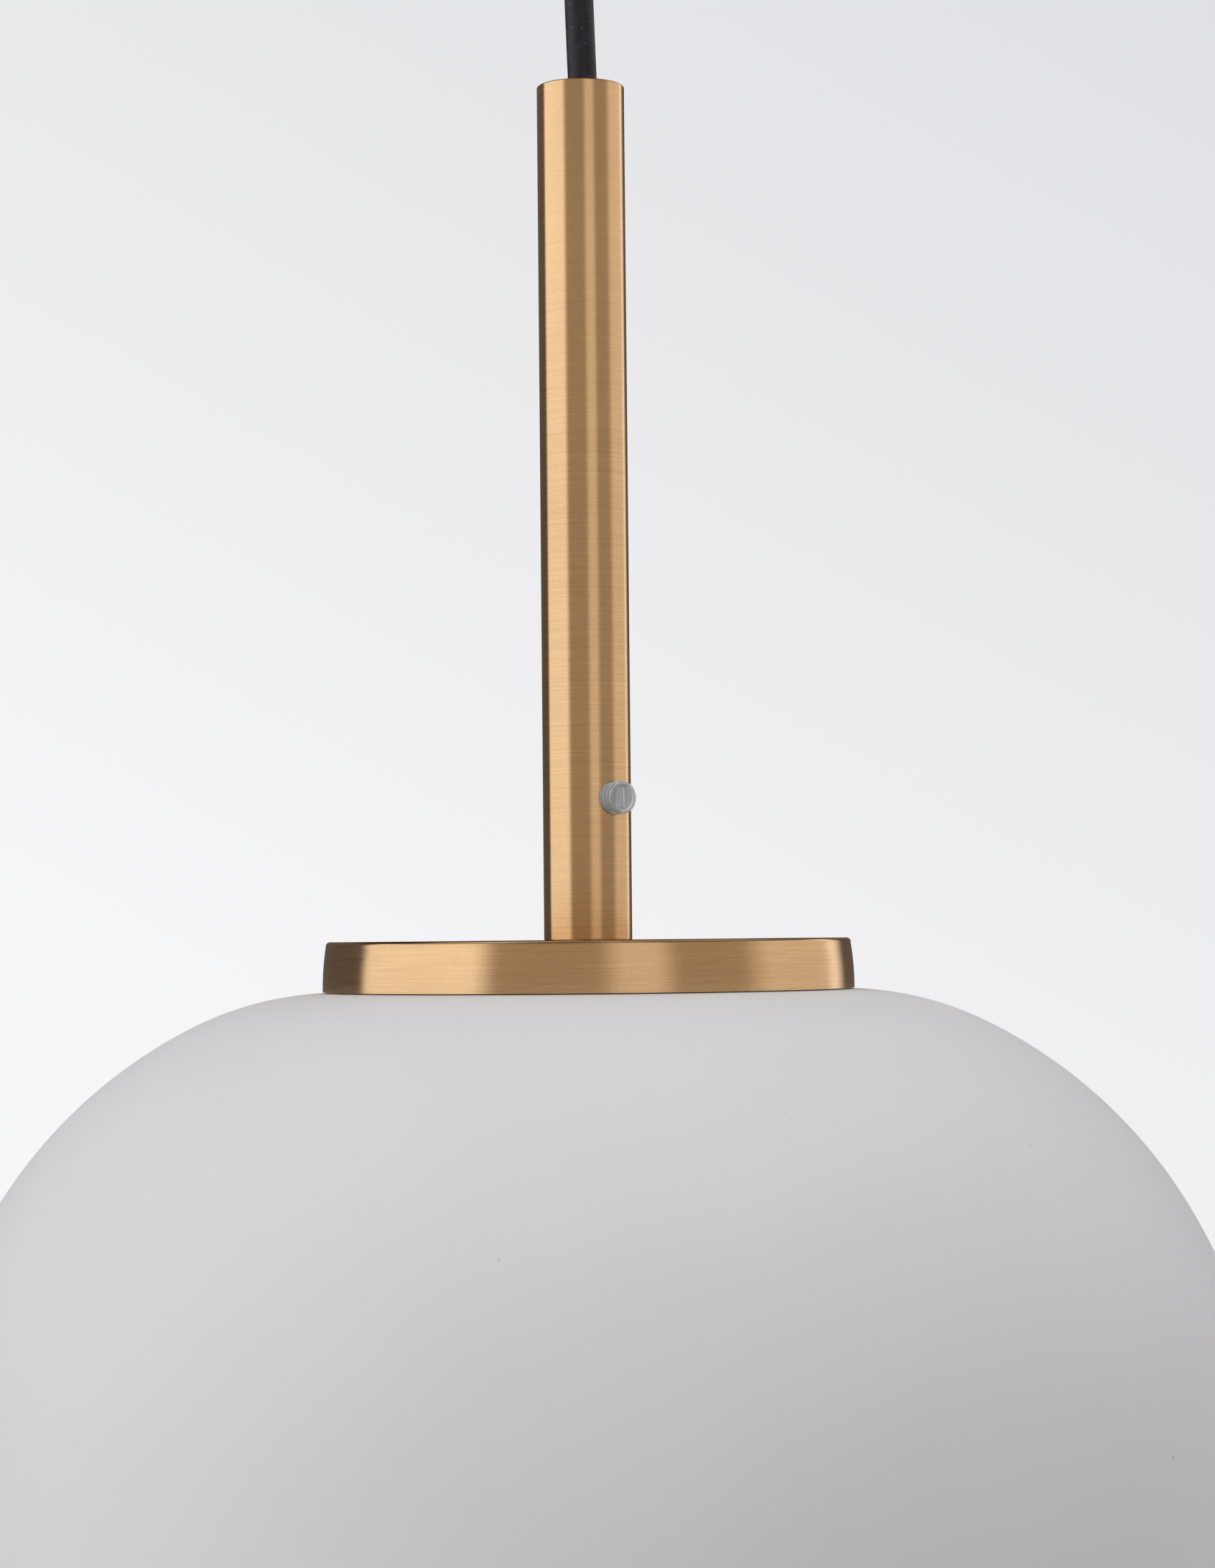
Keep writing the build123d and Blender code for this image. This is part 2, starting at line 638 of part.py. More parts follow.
def bulb_envelope():
    """Frosted bulb, hollow, with its neck inside the screw cap."""
    return bulb_blank(BULB_FIT) - bulb_blank(BULB_FIT + BULB_WALL)


# --- Everything, by node name ------------------------------------------------------------------------------------
def grouped(solids):
    """Several loose solids kept together in one node."""
    return Compound(children=list(solids))


NODES = {
    "ceiling_bracket": ceiling_bracket(),
    "bracket_earth_screw": bracket_earth_screw(),
    "canopy_cup": canopy_cup(),
    "canopy_side_screws": grouped(canopy_side_screws()),
    "terminal_block": terminal_block(),
    "terminal_screws": grouped(terminal_screws()),
    "cord_grip_body": cord_grip_body(),
    "cord_grip_washer": tube(WASHER_R, CLEAR_HOLE_R, CANOPY_FLOOR_Z + SHEET, GRIP_NUT_Z),
    "cord_grip_nut": hex_nut(NUT_WIDTH, ROD_THREAD_R + BORE_PLAY, GRIP_NUT_Z, GRIP_NUT_Z + 3.0),
    "cord_grip_screw": cord_grip_screw(),
    "cable_in_canopy": cable_in_canopy(),
    "canopy_core_live": canopy_core(-1, 210, "canopy_core_live"),
    "canopy_core_neutral": canopy_core(0, 90, "canopy_core_neutral"),
    "canopy_core_earth": canopy_core(1, 330, "canopy_core_earth"),
    "supply_cable": supply_cable(),
    "cable_in_stem": cable_in_stem(),
    "stem_tube": stem_tube(),
    "stem_bushing": stem_bushing(),
    "clamp_bushing": clamp_bushing(),
    "clamp_screw": clamp_screw(),
    "threaded_nipple": threaded_nipple(),
    "cap_shell": cap_shell(),
    "carrier_plate": carrier_plate(),
    "arm_rivets": grouped(arm_rivets()),
    "lock_washer": lock_washer(),
    "nipple_nut": nipple_nut(),
    "shade_gasket": shade_gasket(),
    "shade_glass": shade_glass(),
    "lampholder_dome": lampholder_dome(),
    "lampholder_skirt": lampholder_skirt(),
    "lampholder_core": lampholder_core(),
    "thread_shell": thread_shell(),
    "centre_contact": centre_contact(),
    "holder_terminals": grouped(holder_terminals()),
    "holder_terminal_screws": grouped(holder_terminal_screws()),
    "bulb_tip_contact": bulb_tip_contact(),
    "bulb_insulator": bulb_insulator(),
    "bulb_screw_cap": bulb_screw_cap(),
    "bulb_envelope": bulb_envelope(),
}
for number, azimuth in enumerate(ARM_AZIMUTHS, start=1):
    NODES[f"spring_arm_{number}"] = spring_arm(azimuth)
for core, azimuth in CORE_AZIMUTHS.items():
    NODES[f"holder_core_{core}"] = holder_core(azimuth, f"holder_core_{core}")

os.makedirs("parts", exist_ok=True)
for node, shape in NODES.items():
    export_step(shape, f"parts/{node}.step")
print(len(NODES), "nodes written")
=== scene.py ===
# %% [markdown]
# # A pendant light in satin brass and opal glass
#
# The light hangs from a round cable. A slim brass tube, the stem, runs down to a shallow brass
# cap, and under the cap sits a squashed globe of etched opal glass. A clear plastic screw low
# on the stem grips the cable. The design itself is already fixed by a CAD model, so this script
# only gives each piece its fine shape and its finish, and then lights it. The CAD model is
# loaded first, and the main places and sizes below are read from it.

# %% Load the CAD model and note its size
import bmesh
import bpy
import json
from math import asin, atan2, cos, degrees, hypot, pi, radians, sin, sqrt, tan
from mathutils import Matrix, Vector


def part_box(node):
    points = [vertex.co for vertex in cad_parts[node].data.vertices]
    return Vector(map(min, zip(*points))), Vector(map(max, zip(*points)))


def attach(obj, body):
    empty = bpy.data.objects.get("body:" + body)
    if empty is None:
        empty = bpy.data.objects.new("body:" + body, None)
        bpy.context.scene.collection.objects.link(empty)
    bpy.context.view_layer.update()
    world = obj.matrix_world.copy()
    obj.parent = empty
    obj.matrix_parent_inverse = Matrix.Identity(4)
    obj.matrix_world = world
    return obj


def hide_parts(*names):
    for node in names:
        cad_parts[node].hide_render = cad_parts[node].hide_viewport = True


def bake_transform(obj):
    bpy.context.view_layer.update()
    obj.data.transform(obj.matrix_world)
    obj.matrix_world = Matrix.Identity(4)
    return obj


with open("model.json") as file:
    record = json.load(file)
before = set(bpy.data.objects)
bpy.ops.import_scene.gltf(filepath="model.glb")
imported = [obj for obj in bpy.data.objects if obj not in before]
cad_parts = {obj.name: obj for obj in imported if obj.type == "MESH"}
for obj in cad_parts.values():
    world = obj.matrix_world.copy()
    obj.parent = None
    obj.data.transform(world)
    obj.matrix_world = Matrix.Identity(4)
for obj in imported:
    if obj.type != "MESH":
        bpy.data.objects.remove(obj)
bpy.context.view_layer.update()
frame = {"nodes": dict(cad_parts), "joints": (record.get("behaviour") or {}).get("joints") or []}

# %% [markdown]
# ## Sizes
#
# Blender works in metres here, but a maker thinks in millimetres, so MM turns one into the
# other. The stem stands on the cap's top face, and most heights are counted down from there.

# %% Read the main sizes off the model
MM = 0.001
stem_low, stem_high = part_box("stem_tube")
cap_low, cap_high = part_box("cap_shell")
globe_low, globe_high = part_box("shade_glass")
STEM_R = (stem_high.y - stem_low.y) / 2
STEM_TOP = stem_high.z
CAP_TOP = stem_low.z
CAP_R = (cap_high.y - cap_low.y) / 2
print(f"stem {2 * STEM_R / MM:.1f} mm across, cap {2 * CAP_R / MM:.1f} mm,",
      f"globe {(globe_high.x - globe_low.x) / MM:.1f} mm")

# %% [markdown]
# ## The camera
#
# A long lens from two thirds of a metre, at the height of the cap and tilted slightly up. It is
# a close view: the cable and the globe both run out of the picture. The small roll lets the
# stem lean to the left a little, as a lamp on a cable always does.

# %% Place the camera
LENS = 84.2
DISTANCE = 0.666
PITCH = 2.43
ROLL = 0.55
SIDEWAYS = 0.00376


def in_scene(name, data):
    """New object in the scene, round a mesh, curve, camera or light."""
    item = bpy.data.objects.new(name, data)
    bpy.context.scene.collection.objects.link(item)
    return item


camera = in_scene("camera", bpy.data.cameras.new("camera"))
camera.data.lens = LENS
camera.location = (SIDEWAYS, -DISTANCE, CAP_TOP)
level = Matrix.Rotation(radians(90 + PITCH), 4, "X")
camera.rotation_euler = (level @ Matrix.Rotation(radians(-ROLL), 4, "Z")).to_euler()
bpy.context.scene.camera = camera
print("camera at", tuple(round(v, 4) for v in camera.location))

# %% [markdown]
# ## Two small tools
#
# Colours are written as the hex values a designer would pick on screen. Blender mixes light
# with linear numbers, so one function converts them. The others add a node to a tree and set
# its inputs: each is a plain value, another node's output, or a node, whose first output is
# meant.

# %% Colour and node tools
def linear(hex_code):
    """Screen colour such as "C8A070" as linear red, green, blue and full alpha."""
    channels = [int(hex_code[i:i + 2], 16) / 255 for i in (0, 2, 4)]
    return [c / 12.92 if c <= 0.04045 else ((c + 0.055) / 1.055) ** 2.4 for c in channels] + [1.0]


def connect(tree, node, inputs):
    """Sets a node's inputs, given by name or number."""
    for socket, value in inputs.items():
        if isinstance(value, bpy.types.Node):
            value = value.outputs[0]
        if isinstance(value, bpy.types.NodeSocket):
            tree.links.new(value, node.inputs[socket])
        else:
            node.inputs[socket].default_value = value


def add(tree, kind, inputs=None, **settings):
    """Adds a node of a kind, with its settings by name and its inputs as connect takes them."""
    node = tree.nodes.new(kind)
    for name, value in settings.items():
        setattr(node, name, value)
    connect(tree, node, inputs or {})
    return node


print("a brass colour reads as", [round(c, 3) for c in linear("C8A070")])

# %% [markdown]
# ## The cable
#
# The cable is a 5.3 mm round mains lead in black PVC. It is a fixed length of something
# flexible, pulled nearly straight by the lamp's weight, so it gets a smooth NURBS line: straight
# out of the cord grip, a slight bow, and off the centre of the stem's mouth. The tube is then
# built as a mesh along that line.

# %% Draw the cable's centre line
CABLE_D = 5.3 * MM
CABLE_ROUTE = [
    (0.0, 0.0, -0.037),
    (0.0, 0.0, -0.056),
    (-0.0005, 0.0, -0.076),
    (0.00005, 0.0, -0.097),
    (0.0008, 0.0, -0.117),
]
route_curve = bpy.data.curves.new("cable_route", "CURVE")
route_curve.dimensions = "3D"
route_curve.resolution_u = 12
spline = route_curve.splines.new("NURBS")
spline.points.add(len(CABLE_ROUTE) - 1)
for point, place in zip(spline.points, CABLE_ROUTE):
    point.co = (*place, 1.0)
spline.order_u = 3
spline.use_endpoint_u = True
route_object = in_scene("cable_route", route_curve)
bpy.context.view_layer.update()
route_mesh = bpy.data.meshes.new_from_object(route_object)
centre_line = [v.co.copy() for v in route_mesh.vertices]
bpy.data.objects.remove(route_object)
cable_length = sum((b - a).length for a, b in zip(centre_line, centre_line[1:]))
print(f"centre line of {len(centre_line)} points, {cable_length / MM:.1f} mm long")

# %% [markdown]
# A ring of points is set square to the line at each of its points, and the rings are joined.
# Both ends are capped, so the tube is a closed solid.

# %% Build the cable's tube
def keep_mesh(mesh, name):
    """Turns a working mesh into mesh data and frees it."""
    data = bpy.data.meshes.new(name)
    mesh.to_mesh(data)
    mesh.free()
    return data


def tube_along(name, line, radius, sides):
    """Closed round tube of mesh that follows a list of points."""
    mesh = bmesh.new()
    rings = []
    for index, place in enumerate(line):
        before = line[max(index - 1, 0)]
        after = line[min(index + 1, len(line) - 1)]
        along = (after - before).normalized()
        side = along.cross(Vector((0, 1, 0))).normalized()
        up = side.cross(along)
        ring = []
        for step in range(sides):
            turn = 2 * pi * step / sides
            ring.append(mesh.verts.new(place + radius * (cos(turn) * side + sin(turn) * up)))
        rings.append(ring)
    for first, second in zip(rings, rings[1:]):
        for step in range(sides):
            nearby = (step + 1) % sides
            mesh.faces.new((first[step], first[nearby], second[nearby], second[step]))
    mesh.faces.new(rings[0])
    mesh.faces.new(rings[-1])
    bmesh.ops.recalc_face_normals(mesh, faces=mesh.faces)
    data = keep_mesh(mesh, name)
    data.shade_smooth()
    data.set_sharp_from_angle(angle=radians(50))
    return in_scene(name, data)


cable = tube_along("black_cable", centre_line, CABLE_D / 2, 64)
print("cable tube:", len(cable.data.polygons), "faces")

# %% [markdown]
# ## Finishes
#
# Each finish starts from what the real one is. The first helper only opens a new material and
# hands back its node tree, its main shader and the object coordinates, which stay fixed to the
# piece however it moves.

# %% Open a material
def new_finish(name):
    """New node material: the material, its tree, its main shader and its object coordinates."""
    material = bpy.data.materials.new(name)
    material.use_nodes = True
    tree = material.node_tree
    shader = tree.nodes["Principled BSDF"]
    place = add(tree, "ShaderNodeTexCoord").outputs["Object"]
    return material, tree, shader, place


FINE_SKIN = 0.02 * MM       # height of a surface's smallest bumps

# %% [markdown]
# ### Satin brass
#
# The stem, the cap and the canopy are brass, brushed while they turned on a lathe and then
# lacquered. Brushing leaves fine scratches that run round the piece, so a reflection is blurred
# up and down but stays crisp from side to side: that gives the long vertical bands. The shader's
# anisotropy does this, with its tangent set round the Z axis. Real scratches are about 0.05 mm
# apart, too fine to see here, so they are drawn 0.2 mm apart. Under the lacquer the metal has
# toned unevenly, which is the slow change between two brass colours.

# %% Satin brass
BRUSH_SPACING = 0.2 * MM
BRUSH_LENGTH = 14 * MM
PATINA_SIZE = 22 * MM
GRIT_SIZE = 0.35 * MM


def satin_brass():
    """Brass brushed round the Z axis and lacquered."""
    material, tree, shader, place = new_finish("satin_brushed_brass")
    flat = add(tree, "ShaderNodeVectorMath", {0: place, 1: (1, 1, 0)}, operation="MULTIPLY")
    radius = add(tree, "ShaderNodeVectorMath", {0: flat}, operation="LENGTH")
    parts = add(tree, "ShaderNodeSeparateXYZ", {0: place})
    # Height plus radius changes across the scratches both on a wall and on a flat face.
    across = add(tree, "ShaderNodeMath", {0: parts.outputs["Z"], 1: radius.outputs["Value"]})
    joined = add(tree, "ShaderNodeCombineXYZ", {"X": parts.outputs["X"], "Y": parts.outputs["Y"],
                                                "Z": across})
    stretch = (1 / BRUSH_LENGTH, 1 / BRUSH_LENGTH, 1 / BRUSH_SPACING)
    scratch_place = add(tree, "ShaderNodeVectorMath", {0: joined, 1: stretch},
                        operation="MULTIPLY")
    scratches = add(tree, "ShaderNodeTexNoise", {"Vector": scratch_place, "Scale": 1.0,
                                                 "Detail": 3.0, "Roughness": 0.65})
    patina = add(tree, "ShaderNodeTexNoise", {"Vector": place, "Scale": 1 / PATINA_SIZE,
                                              "Detail": 4.0, "Roughness": 0.6})
    tone = add(tree, "ShaderNodeMix", {"Factor": patina.outputs["Fac"], 6: linear("EFCE9F"),
                                       7: linear("E1C093")}, data_type="RGBA")
    grit = add(tree, "ShaderNodeTexNoise", {"Vector": place, "Scale": 1 / GRIT_SIZE,
                                            "Detail": 2.0})
    marks = add(tree, "ShaderNodeMix", {"Factor": 0.3, 2: scratches.outputs["Fac"],
                                        3: grit.outputs["Fac"]})
    shade = add(tree, "ShaderNodeMapRange", {"Value": marks, "From Min": 0.35,
                                             "From Max": 0.65, "To Min": 0.87, "To Max": 1.09})
    colour = add(tree, "ShaderNodeVectorMath", {0: tone.outputs[2], 1: shade},
                 operation="MULTIPLY")
    tree.links.new(colour.outputs[0], shader.inputs["Base Color"])
    gloss = add(tree, "ShaderNodeMapRange", {"Value": scratches.outputs["Fac"], "From Min": 0.3,
                                             "From Max": 0.7, "To Min": 0.16, "To Max": 0.24})
    tree.links.new(gloss.outputs[0], shader.inputs["Roughness"])
    relief = add(tree, "ShaderNodeBump", {"Height": scratches.outputs["Fac"], "Strength": 0.1,
                                          "Distance": FINE_SKIN})
    tree.links.new(relief.outputs[0], shader.inputs["Normal"])
    round_axis = add(tree, "ShaderNodeTangent", direction_type="RADIAL", axis="Z")
    tree.links.new(round_axis.outputs[0], shader.inputs["Tangent"])
    shader.inputs["Metallic"].default_value = 1.0
    shader.inputs["Anisotropic"].default_value = 0.88
    shader.inputs["Anisotropic Rotation"].default_value = 0.25
    return material


BRASS = satin_brass()
print("made", BRASS.name)

# %% [markdown]
# ### Opal glass
#
# The globe is blown in white opal glass and its outside is etched with acid to a satin. Light
# enters a little way, scatters and comes out again, so edges look soft and shadows are pale:
# that is the subsurface part. The etching gives a broad, weak sheen. Blown glass also holds a
# few tiny specks, drawn where a cell pattern comes very near to its cell's centre.

# %% Opal glass
def opal_glass():
    """White opal glass, blown, with an etched satin skin."""
    material, tree, shader, place = new_finish("etched_opal_glass")
    cloud = add(tree, "ShaderNodeTexNoise", {"Vector": place, "Scale": 1 / (45 * MM),
                                             "Detail": 3.0, "Roughness": 0.5})
    body = add(tree, "ShaderNodeMix", {"Factor": cloud.outputs["Fac"], 6: linear("DEDEE1"),
                                       7: linear("E4E3E5")}, data_type="RGBA")
    cells = add(tree, "ShaderNodeTexVoronoi", {"Vector": place, "Scale": 1 / (14 * MM)})
    speck = add(tree, "ShaderNodeMapRange", {"Value": cells.outputs["Distance"], "From Min": 0.02,
                                             "From Max": 0.028, "To Min": 0.35, "To Max": 0.0})
    colour = add(tree, "ShaderNodeMix", {"Factor": speck, 6: body.outputs[2],
                                         7: linear("8F8A88")}, data_type="RGBA")
    tree.links.new(colour.outputs[2], shader.inputs["Base Color"])
    etching = add(tree, "ShaderNodeTexNoise", {"Vector": place, "Scale": 1 / (0.4 * MM),
                                               "Detail": 2.0})
    relief = add(tree, "ShaderNodeBump", {"Height": etching.outputs["Fac"], "Strength": 0.05,
                                          "Distance": FINE_SKIN})
    tree.links.new(relief.outputs[0], shader.inputs["Normal"])
    shader.inputs["Roughness"].default_value = 0.55
    shader.inputs["IOR"].default_value = 1.5
    shader.inputs["Specular IOR Level"].default_value = 0.35
    shader.inputs["Subsurface Weight"].default_value = 0.35
    shader.inputs["Subsurface Scale"].default_value = 4 * MM
    shader.inputs["Subsurface Radius"].default_value = (1.0, 1.0, 1.0)
    return material


OPAL = opal_glass()
print("made", OPAL.name)

# %% [markdown]
# ### Cable sheath
#
# Black PVC, extruded through a round die. Fresh from the die it has a soft sheen and very faint
# lines along its length, and a mains lead picks up dust, so the black is a little lifted.

# %% Cable sheath
def cable_sheath():
    """Black extruded PVC with a soft sheen."""
    material, tree, shader, place = new_finish("black_pvc_sheath")
    stretch = add(tree, "ShaderNodeMapping", {"Vector": place, "Scale": (1600, 1600, 60)})
    grain = add(tree, "ShaderNodeTexNoise", {"Vector": stretch, "Scale": 1.0,
                                             "Detail": 3.0})
    dust = add(tree, "ShaderNodeTexNoise", {"Vector": place, "Scale": 1 / (2.2 * MM),
                                            "Detail": 5.0, "Roughness": 0.7})
    lift = add(tree, "ShaderNodeMapRange", {"Value": dust.outputs["Fac"], "From Min": 0.45,
                                            "From Max": 0.8})
    black = add(tree, "ShaderNodeMix", {"Factor": lift, 6: linear("191A22"),
                                        7: linear("32333D")}, data_type="RGBA")
    cells = add(tree, "ShaderNodeTexVoronoi", {"Vector": place, "Scale": 1 / (1.6 * MM)})
    speck = add(tree, "ShaderNodeMapRange", {"Value": cells.outputs["Distance"], "From Min": 0.06,
                                             "From Max": 0.12, "To Min": 0.6, "To Max": 0.0})
    colour = add(tree, "ShaderNodeMix", {"Factor": speck, 6: black.outputs[2],
                                         7: linear("7C7C82")}, data_type="RGBA")
    tree.links.new(colour.outputs[2], shader.inputs["Base Color"])
    gloss = add(tree, "ShaderNodeMapRange", {"Value": grain.outputs["Fac"], "To Min": 0.38,
                                             "To Max": 0.52})
    tree.links.new(gloss.outputs[0], shader.inputs["Roughness"])
    relief = add(tree, "ShaderNodeBump", {"Height": grain.outputs["Fac"], "Strength": 0.15,
                                          "Distance": FINE_SKIN})
    tree.links.new(relief.outputs[0], shader.inputs["Normal"])
    shader.inputs["IOR"].default_value = 1.53
    shader.inputs["Specular IOR Level"].default_value = 0.4
    return material


SHEATH = cable_sheath()
cable.data.materials.append(SHEATH)
print("made", SHEATH.name)

# %% [markdown]
# ### Clear plastic
#
# The clamp screw is moulded in clear nylon. It lets light through but never as cleanly as
# glass: flow lines from the moulding make it slightly milky.

# %% Clear plastic
def clear_nylon():
    """Clear moulded plastic, a little milky."""
    material, tree, shader, place = new_finish("clear_moulded_nylon")
    flow = add(tree, "ShaderNodeTexNoise", {"Vector": place, "Scale": 1 / (1.2 * MM),
                                            "Detail": 2.0})
    tint = add(tree, "ShaderNodeMix", {"Factor": flow.outputs["Fac"], 6: linear("F7F8F8"),
                                       7: linear("E9EBEC")}, data_type="RGBA")
    tree.links.new(tint.outputs[2], shader.inputs["Base Color"])
    gloss = add(tree, "ShaderNodeMapRange", {"Value": flow.outputs["Fac"], "To Min": 0.1,
                                             "To Max": 0.25})
    tree.links.new(gloss.outputs[0], shader.inputs["Roughness"])
    shader.inputs["IOR"].default_value = 1.53
    shader.inputs["Transmission Weight"].default_value = 0.6
    return material


CLEAR = clear_nylon()
print("made", CLEAR.name)

# %% [markdown]
# ### Plainer finishes
#
# The hidden pieces use a few common finishes: plated steel, turned brass, powder coat, glazed
# ceramic, moulded plastic and so on. They differ in colour, metalness and gloss, and share one
# kind of surface: a fine grain of the given size that mottles the colour, the gloss and the
# relief.

# %% Plainer finishes
def grained(name, dark, light, grain, metal, gloss, relief=0.1, **sockets):
    """Finish with a fine grain: two colours, the grain's size in mm, and a range of roughness."""
    material, tree, shader, place = new_finish(name)
    noise = add(tree, "ShaderNodeTexNoise", {"Vector": place, "Scale": 1 / (grain * MM),
                                             "Detail": 4.0, "Roughness": 0.6})
    colour = add(tree, "ShaderNodeMix", {"Factor": noise.outputs["Fac"], 6: linear(dark),
                                         7: linear(light)}, data_type="RGBA")
    tree.links.new(colour.outputs[2], shader.inputs["Base Color"])
    rough = add(tree, "ShaderNodeMapRange", {"Value": noise.outputs["Fac"], "To Min": gloss[0],
                                             "To Max": gloss[1]})
    tree.links.new(rough.outputs[0], shader.inputs["Roughness"])
    bump = add(tree, "ShaderNodeBump", {"Height": noise.outputs["Fac"], "Strength": relief,
                                        "Distance": FINE_SKIN})
    tree.links.new(bump.outputs[0], shader.inputs["Normal"])
    shader.inputs["Metallic"].default_value = metal
    for socket, value in sockets.items():
        shader.inputs[socket.replace("_", " ")].default_value = value
    return material


TURNED_BRASS = grained("turned_brass", "B58E4C", "CFA866", 0.6, 1.0, (0.2, 0.35))
ZINC = grained("zinc_plated_steel", "9FA2A6", "BEC1C4", 1.5, 1.0, (0.28, 0.42))
SPRING_STEEL = grained("oiled_spring_steel", "5E6166", "787B80", 3.0, 1.0, (0.25, 0.4))
NICKEL = grained("nickel_plated_brass", "B9B6AC", "CFCDC6", 2.0, 1.0, (0.14, 0.24))
POWDER_COAT = grained("white_powder_coat", "E3E2DE", "EDECE9", 0.5, 0.0, (0.35, 0.5), 0.5)
CERAMIC = grained("glazed_ceramic", "E6E2D8", "F1EEE6", 4.0, 0.0, (0.08, 0.16))
PALE_PLASTIC = grained("moulded_polyamide", "D6D6D2", "E2E2DE", 0.3, 0.0, (0.4, 0.55), 0.4)
SILICONE = grained("moulded_silicone", "CFCFCF", "DCDCDC", 0.8, 0.0, (0.5, 0.65))
BLACK_GLASS = grained("black_moulded_glass", "0A0A0C", "121215", 1.0, 0.0, (0.05, 0.12))
FROSTED = grained("frosted_bulb_glass", "EDEBE4", "F5F4EF", 0.3, 0.0, (0.35, 0.5), 0.2,
                  Transmission_Weight=0.5)
BROWN_CORE = grained("brown_core_pvc", "4A2A1A", "593524", 1.0, 0.0, (0.3, 0.42))
BLUE_CORE = grained("blue_core_pvc", "2A5FA8", "3A70B8", 1.0, 0.0, (0.3, 0.42))
print("made the plainer finishes")

# %% [markdown]
# The earth core is green with yellow stripes along it, so its finish is two colours split by
# a diagonal wave pattern.

# %% Green and yellow core
def earth_core():
    """PVC striped green and yellow along the wire."""
    material, tree, shader, place = new_finish("green_yellow_core_pvc")
    stripes = add(tree, "ShaderNodeTexWave", {"Vector": place, "Scale": 180.0, "Distortion": 0.5},
                  bands_direction="DIAGONAL")
    split = add(tree, "ShaderNodeMath", {0: stripes.outputs["Fac"], 1: 0.6},
                operation="GREATER_THAN")
    colour = add(tree, "ShaderNodeMix", {"Factor": split, 6: linear("3F8C3A"),
                                         7: linear("D8C63A")}, data_type="RGBA")
    tree.links.new(colour.outputs[2], shader.inputs["Base Color"])
    shader.inputs["Roughness"].default_value = 0.36
    return material


EARTH_CORE = earth_core()
print("made", EARTH_CORE.name)

# %% [markdown]
# ## A lathe made of Geometry Nodes
#
# Nearly every piece of this lamp was turned, spun or blown: its shape is one outline swept
# round an axis. So one node tree plays the lathe. Its input geometry is the outline, as plain
# points with a radius (X) and a height (Z). A grid is made with one row for each point of the
# outline and one column for each step round, each of its points is moved to the outline's point
# of the same row, and turned about Z by its column. Points that land on each other, at the seam
# and on the axis, are merged, and the result is a closed solid.

# %% Build the lathe
def lathe_tree():
    """Geometry Nodes tree that turns an outline about the Z axis."""
    tree = bpy.data.node_groups.new("lathe", "GeometryNodeTree")
    for name, kind in (("Outline", "Geometry"), ("Steps Round", "Int"), ("Finish", "Material")):
        tree.interface.new_socket(name, in_out="INPUT", socket_type="NodeSocket" + kind)
    tree.interface.new_socket("Piece", in_out="OUTPUT", socket_type="NodeSocketGeometry")
    given = add(tree, "NodeGroupInput").outputs
    count = add(tree, "GeometryNodeAttributeDomainSize", {"Geometry": given["Outline"]})
    rows = count.outputs["Point Count"]
    columns = add(tree, "ShaderNodeMath", {0: given["Steps Round"], 1: 1.0})
    grid = add(tree, "GeometryNodeMeshGrid", {"Vertices X": columns, "Vertices Y": rows})
    index = add(tree, "GeometryNodeInputIndex").outputs[0]
    row = add(tree, "ShaderNodeMath", {0: index, 1: rows}, operation="MODULO")
    ratio = add(tree, "ShaderNodeMath", {0: index, 1: rows}, operation="DIVIDE")
    column = add(tree, "ShaderNodeMath", {0: ratio}, operation="FLOOR")
    step = add(tree, "ShaderNodeMath", {0: 2 * pi, 1: given["Steps Round"]}, operation="DIVIDE")
    turn = add(tree, "ShaderNodeMath", {0: column, 1: step},
               operation="MULTIPLY")
    place = add(tree, "GeometryNodeInputPosition").outputs[0]
    sample = add(tree, "GeometryNodeSampleIndex", data_type="FLOAT_VECTOR")
    tree.links.new(given["Outline"], sample.inputs["Geometry"])
    tree.links.new(place, sample.inputs["Value"])
    tree.links.new(row.outputs[0], sample.inputs["Index"])
    turned_place = add(tree, "ShaderNodeVectorRotate", {"Vector": sample,
                                                        "Angle": turn},
                       rotation_type="Z_AXIS")
    moved = add(tree, "GeometryNodeSetPosition", {"Geometry": grid.outputs["Mesh"],
                                                  "Position": turned_place})
    merged = add(tree, "GeometryNodeMergeByDistance", {"Geometry": moved,
                                                       "Distance": 0.002 * MM})
    real = add(tree, "GeometryNodeRealizeInstances", {"Geometry": merged})
    painted = add(tree, "GeometryNodeSetMaterial", {"Geometry": real,
                                                    "Material": given["Finish"]})
    add(tree, "NodeGroupOutput", {"Piece": painted})
    return tree


LATHE = lathe_tree()
print("lathe tree has", len(LATHE.nodes), "nodes")

# %% [markdown]
# A tree does its work as a modifier. This helper puts a tree on an object, sets its inputs,
# turns the result into a plain mesh and takes the modifier away again. A modifier's inputs are
# set by their identifiers, which are looked up from their names. The mesh is then given
# outward faces and soft shading, with only its real corners left sharp.

# %% Turn a tree's result into a finished piece
def made_by(tree, name, source, inputs, crease=32):
    """Runs a tree on a source mesh and returns the result as a finished piece."""
    piece = in_scene(name, source)
    modifier = piece.modifiers.new("maker", "NODES")
    modifier.node_group = tree
    for item in tree.interface.items_tree:
        if item.in_out == "INPUT" and item.name in inputs:
            modifier[item.identifier] = inputs[item.name]
    bpy.context.view_layer.update()
    result = piece.evaluated_get(bpy.context.evaluated_depsgraph_get())
    data = bpy.data.meshes.new_from_object(result)
    piece.modifiers.remove(modifier)
    piece.data = data
    data.name = name
    finish_mesh(data, crease)
    return piece


